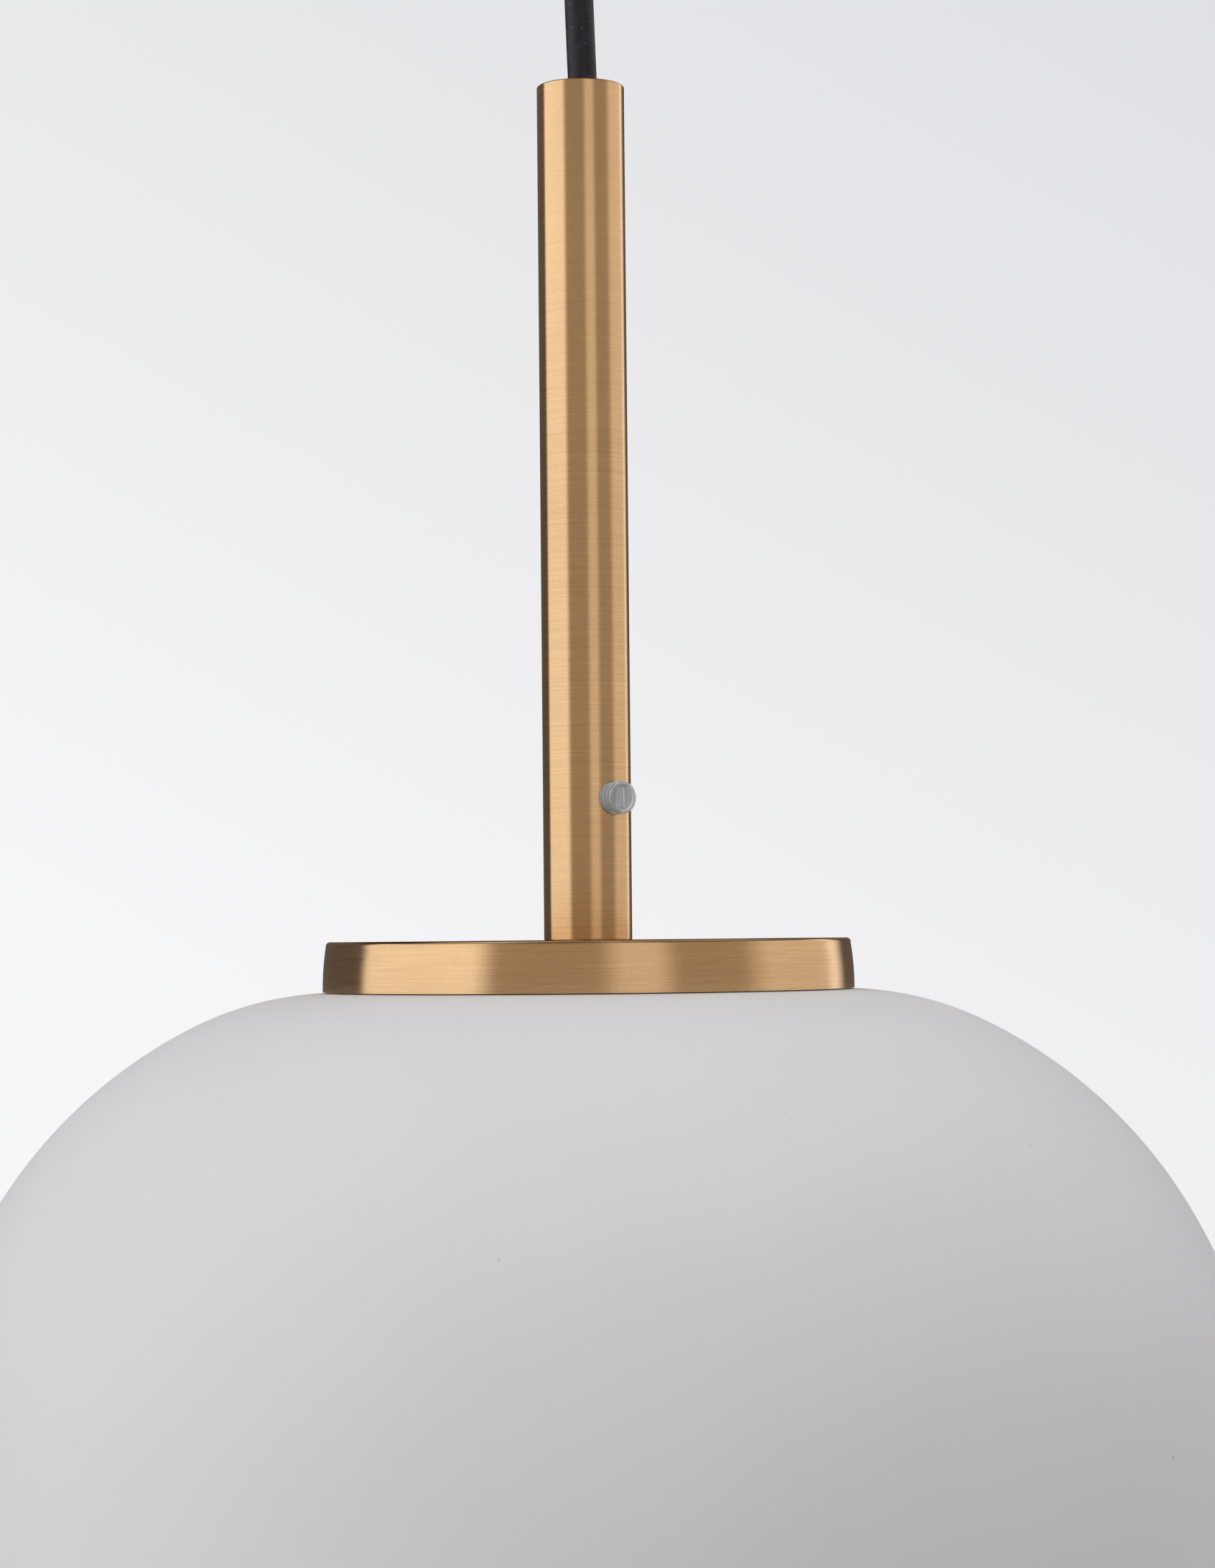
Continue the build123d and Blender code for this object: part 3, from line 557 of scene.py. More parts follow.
def finish_mesh(data, crease):
    """Faces outward, smooth shading, and edges sharper than crease degrees left sharp."""
    mesh = bmesh.new()
    mesh.from_mesh(data)
    bmesh.ops.dissolve_degenerate(mesh, edges=mesh.edges, dist=0.0005 * MM)
    bmesh.ops.recalc_face_normals(mesh, faces=mesh.faces)
    mesh.to_mesh(data)
    mesh.free()
    data.shade_smooth()
    data.set_sharp_from_angle(angle=radians(crease))


def turned(name, outline, finish, steps=128, crease=32):
    """Piece turned on the lathe from (radius, height) points in metres; the outline closes itself."""
    source = bpy.data.meshes.new(name + "_outline")
    closed = list(outline) + [outline[0]]
    source.from_pydata([(r, 0.0, z) for r, z in closed], [], [])
    return made_by(LATHE, name, source, {"Steps Round": steps, "Finish": finish}, crease)


print("ready to turn pieces")

# %% [markdown]
# ## Outlines with broken edges
#
# No real edge is perfectly sharp: a turner breaks it, and that narrow round is what catches the
# light. An outline is given as corners with a radius each, and this function replaces every
# corner with a small arc.

# %% Round the corners of an outline
def rounded(corners, per_arc=6):
    """Outline from (radius, height, corner radius) in mm, heights down from the cap's top face."""
    points = []
    count = len(corners)
    for index, (r, z, bend) in enumerate(corners):
        here = Vector((r, z))
        if bend == 0:
            points.append(here)
            continue
        to_last = (Vector(corners[index - 1][:2]) - here).normalized()
        to_next = (Vector(corners[(index + 1) % count][:2]) - here).normalized()
        half = to_last.angle(to_next) / 2
        centre = here + (to_last + to_next).normalized() * (bend / sin(half))
        start = here + to_last * (bend / tan(half)) - centre
        end = here + to_next * (bend / tan(half)) - centre
        sweep = start.angle_signed(end)
        for step in range(per_arc + 1):
            turn = -sweep * step / per_arc
            arm = Vector((start.x * cos(turn) - start.y * sin(turn),
                          start.x * sin(turn) + start.y * cos(turn)))
            points.append(centre + arm)
    return [(p.x * MM, CAP_TOP - p.y * MM) for p in points]


print("a 1 mm corner becomes", len(rounded([(0, 0, 0), (5, 0, 1), (5, 5, 0)])) - 2, "points")

# %% [markdown]
# ## The globe
#
# The globe was blown into a mould, so its wall follows a rule: a chain of arcs, each starting
# where the last ended and in the same direction, from a straight neck over the shoulder and
# round the belly to a nearly flat bottom. The inside follows the same arcs, one wall thickness
# in. Radii and centres are in millimetres, and angles run down from the top.

# %% Outline of the globe
WALL = 3.0
NECK_R = 45.2
NECK_TOP = -2.3
NECK_FILLET = 2.5
SHOULDER = (46.12, -66.38)
ARCS = [(57.2, 26.36), (85.12, 60.0), (94.0, 90.0), (85.0, None)]
BOTTOM_R = 210.0


def arc(centre, radius, start, end, step):
    """Points of an arc, with angles in degrees down from the top."""
    count = max(2, round(abs(end - start) / step))
    angles = [radians(start + (end - start) * i / count) for i in range(count + 1)]
    return [(centre[0] + radius * sin(a), centre[1] + radius * cos(a)) for a in angles]


def globe_wall(inset, step=1.2):
    """The globe's outline from the neck's lip to the bottom, moved in by inset."""
    reach = ARCS[0][0] + NECK_FILLET
    lean = degrees(asin((NECK_R + NECK_FILLET - SHOULDER[0]) / reach))
    fillet_centre = (NECK_R + NECK_FILLET, SHOULDER[1] + reach * cos(radians(lean)))
    points = arc(fillet_centre, NECK_FILLET + inset, 270, 180 + lean, 8)
    centre, start = SHOULDER, lean
    for index, (radius, end) in enumerate(ARCS):
        if end is None:
            end = 180 - degrees(asin(centre[0] / (BOTTOM_R - radius)))
        points += arc(centre, radius - inset, start, end, step)[1:]
        following = BOTTOM_R if index + 1 == len(ARCS) else ARCS[index + 1][0]
        shift = radius - following
        centre = (centre[0] + shift * sin(radians(end)), centre[1] + shift * cos(radians(end)))
        start = end
    return points + arc(centre, BOTTOM_R - inset, start, 180, step / 3)[1:]


lip = [(NECK_R - WALL, NECK_TOP - 0.8), (NECK_R - WALL + 0.8, NECK_TOP),
       (NECK_R - 0.8, NECK_TOP), (NECK_R, NECK_TOP - 0.8)]
outline = lip + globe_wall(0) + list(reversed(globe_wall(WALL)))
outline = [(max(r, 0) * MM, CAP_TOP + z * MM) for r, z in outline]
globe = turned("opal_globe", outline, OPAL, steps=240)
print("globe outline has", len(outline), "points; globe has", len(globe.data.polygons), "faces")

# %% [markdown]
# ## The stem
#
# A length of brass tube, 16 mm across with a 1 mm wall, faced square at both ends with its
# edges just broken. The hole for the clamp screw is cut through its wall afterwards, the same
# way it is made: with a drill, here a cylinder in a Boolean modifier.

# %% Turn the stem
STEM_WALL = 1.0
STEM_LENGTH = (STEM_TOP - CAP_TOP) / MM
stem_r = STEM_R / MM
edge = 0.25
stem = turned("stem", rounded([
    (stem_r, -STEM_LENGTH, edge), (stem_r, 0, 0.15), (stem_r - STEM_WALL, 0, 0.15),
    (stem_r - STEM_WALL, -STEM_LENGTH, edge)]), BRASS, steps=180)
print("stem has", len(stem.data.polygons), "faces")

# %% [markdown]
# The screw's axis points out of the stem to the front and right. One matrix holds that
# direction: its Z axis runs out along the screw, and its Y axis points up, so that the
# driver slot stands upright.

# %% Drill the stem for the clamp screw
screw_low, screw_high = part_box("clamp_screw")
SCREW_HEIGHT = (screw_low.z + screw_high.z) / 2
screw_out = Vector(next(j for j in frame["joints"] if j["child"] == "clamp_screw")["axis"])
screw_side = Vector((0, 0, 1)).cross(screw_out).normalized()
SCREW_PLACE = Matrix.Translation((0, 0, SCREW_HEIGHT)) @ Matrix(
    (screw_side, Vector((0, 0, 1)), screw_out)).transposed().to_4x4()


def cut_by(piece, cutter, crease=32):
    """Takes the cutter's mesh out of the piece, whose finish also covers the cut faces."""
    tool = in_scene("cutter", cutter)
    cut = piece.modifiers.new("cut", "BOOLEAN")
    cut.operation = "DIFFERENCE"
    cut.object = tool
    bpy.context.view_layer.update()
    result = piece.evaluated_get(bpy.context.evaluated_depsgraph_get())
    finish = next(m for m in piece.data.materials if m)
    piece.data = bpy.data.meshes.new_from_object(result)
    piece.modifiers.clear()
    bpy.data.objects.remove(tool)
    piece.data.materials.clear()
    piece.data.materials.append(finish)
    for face in piece.data.polygons:
        face.material_index = 0
    finish_mesh(piece.data, crease)


def drilled(piece, radius, length, place):
    """Cuts a round hole, from the place's origin out along its Z axis."""
    mesh = bmesh.new()
    bmesh.ops.create_cone(mesh, cap_ends=True, segments=64, radius1=radius, radius2=radius,
                          depth=length)
    data = keep_mesh(mesh, "drill")
    data.transform(place @ Matrix.Translation((0, 0, length / 2)))
    cut_by(piece, data)


drilled(stem, 3.05 * MM, 20 * MM, SCREW_PLACE)
print("drilled stem has", len(stem.data.polygons), "faces")

# %% [markdown]
# ## The cap
#
# Spun from 0.8 mm brass sheet over a form, so it is thin, its top corner is a small round, and
# its side bells out slightly towards the open rim.

# %% Spin the cap
CAP_SHEET = 0.8
CAP_HEIGHT = (CAP_TOP - cap_low.z) / MM
cap_rim_r = CAP_R / MM


def cap_side_r(depth):
    """Radius of the cap's side at a depth below its top: steeper near the top."""
    return cap_rim_r - 0.75 * (1 - depth / CAP_HEIGHT) ** 2.2


side_depths = [0.9 + (CAP_HEIGHT - 1.0) * i / 14 for i in range(15)]
cap_outline = rounded([(5.2, 0, 0), (cap_side_r(0.8) + 0.05, 0, 0.75),
                       (cap_side_r(0.9), 0.9, 0)], per_arc=8)
cap_outline += [(cap_side_r(d) * MM, CAP_TOP - d * MM) for d in side_depths[1:]]
cap_outline += [((cap_side_r(CAP_HEIGHT) - CAP_SHEET) * MM, CAP_TOP - CAP_HEIGHT * MM)]
cap_outline += [((cap_side_r(d) - CAP_SHEET) * MM, CAP_TOP - d * MM) for d in reversed(side_depths)]
cap_outline += rounded([(cap_side_r(1) - 1.2, CAP_SHEET, 0), (5.2, CAP_SHEET, 0)])
cap = turned("spun_cap", cap_outline, BRASS, steps=240)
print("cap has", len(cap.data.polygons), "faces")

# %% [markdown]
# ## Ridges: threads and knurls
#
# A screw thread is one ridge wound round a rod, and a knurl is many ridges side by side. Both
# follow the same rule, so a second tree cuts both: every point on the outer wall moves inward
# by a wave of its height and its angle. With one start and a pitch the wave is a thread; with
# many starts and no pitch it is a knurl. Only points between two heights are moved.

# %% Build the ridge cutter
def ridge_tree():
    """Geometry Nodes tree that cuts a thread or a knurl into a turned piece."""
    tree = bpy.data.node_groups.new("ridges", "GeometryNodeTree")
    sizes = ("Turns Per Metre", "Starts", "Depth", "Low", "High", "Wall Radius")
    for name, kind in [("Piece", "Geometry")] + [(n, "Float") for n in sizes] + [("Finish", "Material")]:
        tree.interface.new_socket(name, in_out="INPUT", socket_type="NodeSocket" + kind)
    tree.interface.new_socket("Piece", in_out="OUTPUT", socket_type="NodeSocketGeometry")
    given = add(tree, "NodeGroupInput").outputs
    place = add(tree, "GeometryNodeInputPosition").outputs[0]
    parts = add(tree, "ShaderNodeSeparateXYZ", {0: place}).outputs
    angle = add(tree, "ShaderNodeMath", {0: parts["Y"], 1: parts["X"]}, operation="ARCTAN2")
    by_angle = add(tree, "ShaderNodeMath", {0: angle, 1: 1 / (2 * pi)},
                   operation="MULTIPLY")
    wound = add(tree, "ShaderNodeMath", {0: by_angle, 1: given["Starts"]},
                operation="MULTIPLY")
    phase = add(tree, "ShaderNodeMath", {0: parts["Z"], 1: given["Turns Per Metre"],
                                         2: wound}, operation="MULTIPLY_ADD")
    wave = add(tree, "ShaderNodeMath", {0: phase, 1: 0.5}, operation="PINGPONG")
    cut = add(tree, "ShaderNodeMapRange", {"Value": wave, "From Min": 0.06,
                                           "From Max": 0.44, "To Min": 0.0, "To Max": 1.0},
              interpolation_type="SMOOTHSTEP")
    depth = add(tree, "ShaderNodeMath", {0: cut, 1: given["Depth"]},
                operation="MULTIPLY")
    outward = add(tree, "ShaderNodeCombineXYZ", {"X": parts["X"], "Y": parts["Y"]})
    radius = add(tree, "ShaderNodeVectorMath", {0: outward}, operation="LENGTH")
    unit = add(tree, "ShaderNodeVectorMath", {0: outward}, operation="NORMALIZE")
    inward = add(tree, "ShaderNodeMath", {0: depth, 1: -1.0}, operation="MULTIPLY")
    shift = add(tree, "ShaderNodeVectorMath", {0: unit, "Scale": inward},
                operation="SCALE")
    above = add(tree, "ShaderNodeMath", {0: parts["Z"], 1: given["Low"]}, operation="GREATER_THAN")
    below = add(tree, "ShaderNodeMath", {0: parts["Z"], 1: given["High"]}, operation="LESS_THAN")
    wall = add(tree, "ShaderNodeMath", {0: radius.outputs["Value"], 1: given["Wall Radius"]},
               operation="GREATER_THAN")
    between = add(tree, "ShaderNodeMath", {0: above, 1: below},
                  operation="MULTIPLY")
    chosen = add(tree, "ShaderNodeMath", {0: between, 1: wall},
                 operation="MULTIPLY")
    moved = add(tree, "GeometryNodeSetPosition", {"Geometry": given["Piece"],
                                                  "Selection": chosen,
                                                  "Offset": shift})
    real = add(tree, "GeometryNodeRealizeInstances", {"Geometry": moved})
    painted = add(tree, "GeometryNodeSetMaterial", {"Geometry": real,
                                                    "Material": given["Finish"]})
    add(tree, "NodeGroupOutput", {"Piece": painted})
    return tree


RIDGES = ridge_tree()


def ridged(piece, name, finish, pitch, starts, depth, low, high, wall, crease=32):
    """A turned piece with a thread (a pitch) or a knurl (pitch 0) cut between two heights."""
    source = piece.data
    bpy.data.objects.remove(piece)
    return made_by(RIDGES, name, source, {
        "Turns Per Metre": 1 / pitch if pitch else 0.0, "Starts": float(starts), "Depth": depth,
        "Low": low, "High": high, "Wall Radius": wall, "Finish": finish}, crease)


print("ridge tree has", len(RIDGES.nodes), "nodes")

# %% [markdown]
# ## The clear clamp screw
#
# A headless screw, 6 mm across, moulded in clear plastic. It is turned lying at the origin with
# its Z axis along the screw, gets its thread and its driver slot, and only then is its mesh
# carried to its place in the stem. Its end has a shallow round dish, and the slot is cut across
# the dish.

# %% Shape the clear screw
def steps_between(radius, start, end, count):
    """Evenly spaced outline points on a straight wall, so that there is something to move."""
    return [(radius, start + (end - start) * i / count) for i in range(count + 1)]


SCREW_R = 3.0 * MM
SCREW_TIP = 2.8 * MM
SCREW_FACE = 10.7 * MM
SCREW_PITCH = 1.0 * MM
DISH_R = 2.3 * MM
DISH_DEPTH = 0.45 * MM
SLOT_DEPTH = 2.2 * MM
screw_outline = [(0, SCREW_TIP), (2.3 * MM, SCREW_TIP)]
screw_outline += steps_between(SCREW_R, SCREW_TIP + 0.5 * MM, SCREW_FACE - 0.3 * MM, 90)
screw_outline += [(2.93 * MM, SCREW_FACE - 0.1 * MM), (2.75 * MM, SCREW_FACE),
                  (DISH_R + 0.08 * MM, SCREW_FACE), (DISH_R, SCREW_FACE - 0.08 * MM),
                  (DISH_R - 0.05 * MM, SCREW_FACE - DISH_DEPTH), (0, SCREW_FACE - DISH_DEPTH)]
clamp_screw = turned("clamp_screw_blank", screw_outline, CLEAR, steps=96)
clamp_screw = ridged(clamp_screw, "clear_clamp_screw", CLEAR, SCREW_PITCH, 1, 0.5 * MM,
                     SCREW_TIP + 0.4 * MM, SCREW_FACE - 0.2 * MM, 2.8 * MM, crease=50)


def block_mesh(low, high):
    """Plain box of mesh between two corners, used as a cutter or as a blank."""
    mesh = bmesh.new()
    bmesh.ops.create_cube(mesh, size=1)
    for vertex in mesh.verts:
        vertex.co = Vector(h if c > 0 else l for c, l, h in zip(vertex.co, low, high))
    return keep_mesh(mesh, "block")


cut_by(clamp_screw, block_mesh((-0.65 * MM, -1.85 * MM, SCREW_FACE - SLOT_DEPTH),
                               (0.65 * MM, 1.85 * MM, SCREW_FACE + 1 * MM)), crease=50)
clamp_screw.data.transform(SCREW_PLACE)
print("clear screw has", len(clamp_screw.data.polygons), "faces")

# %% [markdown]
# ## The canopy and the cord grip
#
# The canopy is a spun brass cup against the ceiling. The cable leaves it through a small turned
# cord grip, whose collar has a knurled band so that fingers can tighten it. Two round-headed
# screws hold the cup from its sides.

# %% Spin the canopy
canopy_low, canopy_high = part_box("canopy_cup")
CANOPY_R = (canopy_high.y - canopy_low.y) / 2 / MM
top = (CAP_TOP - canopy_high.z) / MM
floor_depth = (CAP_TOP - canopy_low.z) / MM
sheet = 0.8
canopy = turned("canopy", rounded([
    (CANOPY_R, top, 0.2), (CANOPY_R, floor_depth, 3.0), (5.2, floor_depth, 0.2),
    (5.2, floor_depth - sheet, 0.2), (CANOPY_R - sheet, floor_depth - sheet, 2.2),
    (CANOPY_R - sheet, top, 0.2)], per_arc=10), BRASS, steps=240)
side_screw_z = sum(v.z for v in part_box("canopy_side_screws")) / 2
for side in (-1, 1):
    facing = Vector((side, 0, 0))
    drilled(canopy, 2.15 * MM, 60 * MM, Matrix.Translation((0, 0, side_screw_z))
            @ facing.to_track_quat("Z", "Y").to_matrix().to_4x4())
print("canopy has", len(canopy.data.polygons), "faces")

# %% Turn and knurl the cord grip
grip_low, grip_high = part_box("cord_grip_body")
mouth = (CAP_TOP - grip_low.z) / MM
shank = (CAP_TOP - grip_high.z) / MM
grip = rounded([(7.5, floor_depth, 0.3), (7.5, mouth, 1.2), (2.8, mouth, 0.4), (2.8, shank, 0.2),
                (5.0, shank, 0.4), (5.0, floor_depth, 0)])
collar = [p for p in grip if abs(p[0] - 7.5 * MM) < 1e-6]
first = grip.index(collar[0])
knurl_low, knurl_high = grip_low.z + 8.4 * MM, grip_low.z + 11.4 * MM
wall = [z for _, z in steps_between(0, collar[0][1], collar[1][1], 60)][1:-1]
grip[first + 1:first + 1] = [(7.5 * MM, z) for z in wall]
cord_grip = turned("cord_grip_blank", grip, BRASS, steps=480)
cord_grip = ridged(cord_grip, "cord_grip", BRASS, 0, 60, 0.3 * MM, knurl_low, knurl_high, 7.4 * MM)
grip_screw_z = sum(v.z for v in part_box("cord_grip_screw")) / 2
drilled(cord_grip, 2.02 * MM, 12 * MM, Matrix.Translation((0, 0, grip_screw_z))
        @ Vector((1, 0, 0)).to_track_quat("Z", "Y").to_matrix().to_4x4())
print("cord grip has", len(cord_grip.data.polygons), "faces")

# %% [markdown]
# ## Pieces that repeat
#
# Screws, spring arms and rivets come in twos and threes, evenly spaced. A third tree makes one
# copy for each step, turned by a step angle and moved by a step vector, and joins them.

# %% Build the copier
def copies_tree():
    """Geometry Nodes tree that repeats a piece with an even turn and an even move."""
    tree = bpy.data.node_groups.new("copies", "GeometryNodeTree")
    for name, kind in (("Piece", "Geometry"), ("Count", "Int"), ("Step Angle", "Float"),
                       ("Step Move", "Vector"), ("Finish", "Material")):
        tree.interface.new_socket(name, in_out="INPUT", socket_type="NodeSocket" + kind)
    tree.interface.new_socket("Pieces", in_out="OUTPUT", socket_type="NodeSocketGeometry")
    given = add(tree, "NodeGroupInput").outputs
    spots = add(tree, "GeometryNodeMeshLine", {"Count": given["Count"],
                                               "Offset": given["Step Move"]})
    number = add(tree, "GeometryNodeInputIndex").outputs[0]
    turn = add(tree, "ShaderNodeMath", {0: number, 1: given["Step Angle"]}, operation="MULTIPLY")
    spin = add(tree, "ShaderNodeCombineXYZ", {"Z": turn})
    placed = add(tree, "GeometryNodeInstanceOnPoints", {"Points": spots,
                                                        "Instance": given["Piece"],
                                                        "Rotation": spin})
    real = add(tree, "GeometryNodeRealizeInstances", {"Geometry": placed})
    painted = add(tree, "GeometryNodeSetMaterial", {"Geometry": real,
                                                    "Material": given["Finish"]})
    add(tree, "NodeGroupOutput", {"Pieces": painted})
    return tree


COPIES = copies_tree()


def copied(piece, name, finish, count, angle=0.0, move=(0, 0, 0), crease=32):
    """Several copies of a piece, in one mesh, each turned and moved one more step."""
    source = piece.data
    bpy.data.objects.remove(piece)
    return made_by(COPIES, name, source, {"Count": count, "Step Angle": radians(angle),
                                          "Step Move": move, "Finish": finish}, crease)


print("copier tree has", len(COPIES.nodes), "nodes")

# %% [markdown]
# A slotted screw is turned upright at the origin, its slot is cut, and it is laid in the first
# place. Its head has a gentle dome, as a cheese-head screw's has.

# %% Slotted screws
def slotted_screw(name, finish, shank_r, shank_length, head_r, head_thick, slot, place):
    """One slotted screw, sizes in mm, its head's seat at the origin and its head towards +Z."""
    outline = [(0, -shank_length), (shank_r - 0.3, -shank_length), (shank_r, -shank_length + 0.3),
               (shank_r, 0), (head_r - 0.1, 0), (head_r, 0.1)]
    crown = head_thick * 0.4
    for step in range(9):
        turn = radians(90 * step / 8)
        outline.append((head_r * cos(turn) ** 0.6 if step < 8 else 0,
                        head_thick - crown + crown * sin(turn)))
    screw = turned(name, [(r * MM, z * MM) for r, z in outline], finish, steps=64)
    width, depth = slot
    cut_by(screw, block_mesh((-2 * head_r * MM, -width / 2 * MM, (head_thick - depth) * MM),
                             (2 * head_r * MM, width / 2 * MM, 2 * head_thick * MM)))
    screw.data.transform(place)
    return screw


outward = Vector((1, 0, 0)).to_track_quat("Z", "Y").to_matrix().to_4x4()
side_screws = copied(slotted_screw(
    "side_screw", BRASS, 2.0, 6.5, 4.0, 2.4, (1.0, 1.0),
    Matrix.Translation((CANOPY_R * MM, 0, side_screw_z)) @ outward),
    "canopy_screws", BRASS, 2, 180)
block_low, block_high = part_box("terminal_screws")
terminal_screws = copied(slotted_screw(
    "terminal_screw", TURNED_BRASS, 1.6, 1.5, 1.85, 1.6, (0.6, 0.8),
    Matrix.Translation((block_low.x + 1.85 * MM, (block_low.y + block_high.y) / 2,
                        block_high.z - 1.6 * MM))),
    "terminal_block_screws", TURNED_BRASS, 3, 0, (9 * MM, 0, 0))
holder_screw_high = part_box("holder_terminal_screws")[1]
holder_screws = copied(slotted_screw(
    "holder_screw", ZINC, 1.2, 2.0, 1.4, 1.5, (0.5, 0.7),
    Matrix.Translation((10 * MM, 0, holder_screw_high.z - 1.5 * MM))),
    "lampholder_screws", ZINC, 3, 90)
earth_low, earth_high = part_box("bracket_earth_screw")
under = Vector((0, 0, -1)).to_track_quat("Z", "Y").to_matrix().to_4x4()
earth_screw = slotted_screw(
    "earth_screw", ZINC, 2.0, 1.3, 3.8, 2.5, (1.0, 1.0),
    Matrix.Translation(((earth_low.x + earth_high.x) / 2, 0, earth_high.z - 1.3 * MM)) @ under)
grip_screw = slotted_screw(
    "cord_grip_screw_clear", CLEAR, 1.6, 3.0, 2.0, 1.4, (0.8, 0.8),
    Matrix.Translation((5.9 * MM, 0, grip_screw_z)) @ outward)
print("made the slotted screws")

# %% [markdown]
# ## Strips of sheet metal
#
# The ceiling bracket and the three spring arms are flat strips bent on a press. A strip is made
# from its centre line: the corners are rounded to the press tool's radius, and the strip's
# section follows the line. A narrow bevel takes the sharpness off the sheared edges.

# %% Bend a strip
def bent_line(corners):
    """Centre line in mm from (x, z, bend radius) corners, with an arc at each bend."""
    points = [Vector(corners[0][:2])]
    for before, corner, after in zip(corners, corners[1:], corners[2:]):
        here = Vector(corner[:2])
        to_last = (Vector(before[:2]) - here).normalized()
        to_next = (Vector(after[:2]) - here).normalized()
        half = to_last.angle(to_next) / 2
        centre = here + (to_last + to_next).normalized() * (corner[2] / sin(half))
        start = here + to_last * (corner[2] / tan(half)) - centre
        end = here + to_next * (corner[2] / tan(half)) - centre
        sweep = start.angle_signed(end)
        for step in range(9):
            turn = -sweep * step / 8
            points.append(centre + Vector((start.x * cos(turn) - start.y * sin(turn),
                                           start.x * sin(turn) + start.y * cos(turn))))
    return points + [Vector(corners[-1][:2])]


def strip(name, corners, thick, width, finish, bevel=0.12):
    """Bent strip of sheet metal lying along X, sizes in mm."""
    line = bent_line(corners)
    mesh = bmesh.new()
    rows = []
    for index, point in enumerate(line):
        before, after = line[max(index - 1, 0)], line[min(index + 1, len(line) - 1)]
        along = (after - before).normalized()
        aside = Vector((-along.y, along.x)) * thick / 2
        if 0 < index < len(line) - 1:
            aside /= cos((line[index] - before).angle(after - line[index]) / 2)
        rows.append([mesh.verts.new(Vector((p.x, y, p.y)) * MM)
                     for p, y in ((point + aside, -width / 2), (point + aside, width / 2),
                                  (point - aside, width / 2), (point - aside, -width / 2))])
    for first, second in zip(rows, rows[1:]):
        for side in range(4):
            mesh.faces.new((first[side], first[(side + 1) % 4], second[(side + 1) % 4],
                            second[side]))
    mesh.faces.new(rows[0])
    mesh.faces.new(rows[-1])
    bmesh.ops.recalc_face_normals(mesh, faces=mesh.faces)
    data = keep_mesh(mesh, name)
    data.materials.append(finish)
    piece = in_scene(name, data)
    edge_round(piece, bevel)
    return piece


def edge_round(piece, width, crease=32):
    """Rounds a piece's sharp edges with a Bevel modifier, applied at once."""
    bevel = piece.modifiers.new("edges", "BEVEL")
    bevel.width = width * MM
    bevel.segments = 2
    bevel.limit_method = "ANGLE"
    bevel.angle_limit = radians(crease)
    bpy.context.view_layer.update()
    result = piece.evaluated_get(bpy.context.evaluated_depsgraph_get())
    piece.data = bpy.data.meshes.new_from_object(result)
    piece.modifiers.clear()
    finish_mesh(piece.data, crease)


ready_z = CAP_TOP / MM
arm = strip("spring_arm", [
    (24.0, ready_z - 2.7, 0), (35.0, ready_z - 2.7, 3.0), (40.4, ready_z - 6.6, 2.0),
    (40.9, ready_z - 9.5, 2.0), (46.6, ready_z - 14.6, 1.5), (41.0, ready_z - 28.0, 0)],
    0.8, 9.0, SPRING_STEEL)
arm.data.transform(Matrix.Rotation(radians(90), 4, "Z"))
spring_arms = copied(arm, "spring_arms", SPRING_STEEL, 3, 120)
print("spring arms have", len(spring_arms.data.polygons), "faces")

# %% Bend and pierce the ceiling bracket
bracket = strip("ceiling_strap", [
    (-45.75, -16.0, 0), (-45.75, -0.75, 1.5), (45.75, -0.75, 1.5), (45.75, -16.0, 0)],
    1.5, 18.0, ZINC, 0.2)
for side in (-1, 1):
    for shift in (-1, 1):
        drilled(bracket, 2.5 * MM, 6 * MM, Matrix.Translation(
            ((30 * side + 5.5 * shift) * MM, 0, -4 * MM)))
    cut_by(bracket, block_mesh(((30 * side - 5.5) * MM, -2.5 * MM, -4 * MM),
                               ((30 * side + 5.5) * MM, 2.5 * MM, 2 * MM)))
drilled(bracket, 5.25 * MM, 6 * MM, Matrix.Translation((0, 0, -4 * MM)))
drilled(bracket, 2.02 * MM, 6 * MM, Matrix.Translation((14 * MM, 0, -4 * MM)))
drilled(bracket, 2.02 * MM, 120 * MM, Matrix.Translation((-60 * MM, 0, side_screw_z)) @ outward)
print("bracket has", len(bracket.data.polygons), "faces")

# %% [markdown]
# ## Rivets, terminal block and gasket
#
# The spring arms are held by button-headed rivets. The terminal block is moulded with a
# slightly sunk partition between its three ways. The gasket is a soft ring that keeps the
# brass off the glass.

# %% Rivets
rivet_outline = [(0, -4.2), (1.4, -4.15), (2.2, -3.95), (2.7, -3.6), (2.95, -3.3), (3.0, -3.1),
                 (1.6, -3.1), (1.6, -0.95), (1.5, -0.9), (0, -0.9)]
rivet = turned("rivet", [(r * MM, z * MM) for r, z in rivet_outline], ZINC, steps=48)
rivet.data.transform(Matrix.Translation((0, 29 * MM, CAP_TOP)))
rivets = copied(rivet, "button_rivets", ZINC, 3, 120)
print("rivets have", len(rivets.data.polygons), "faces")

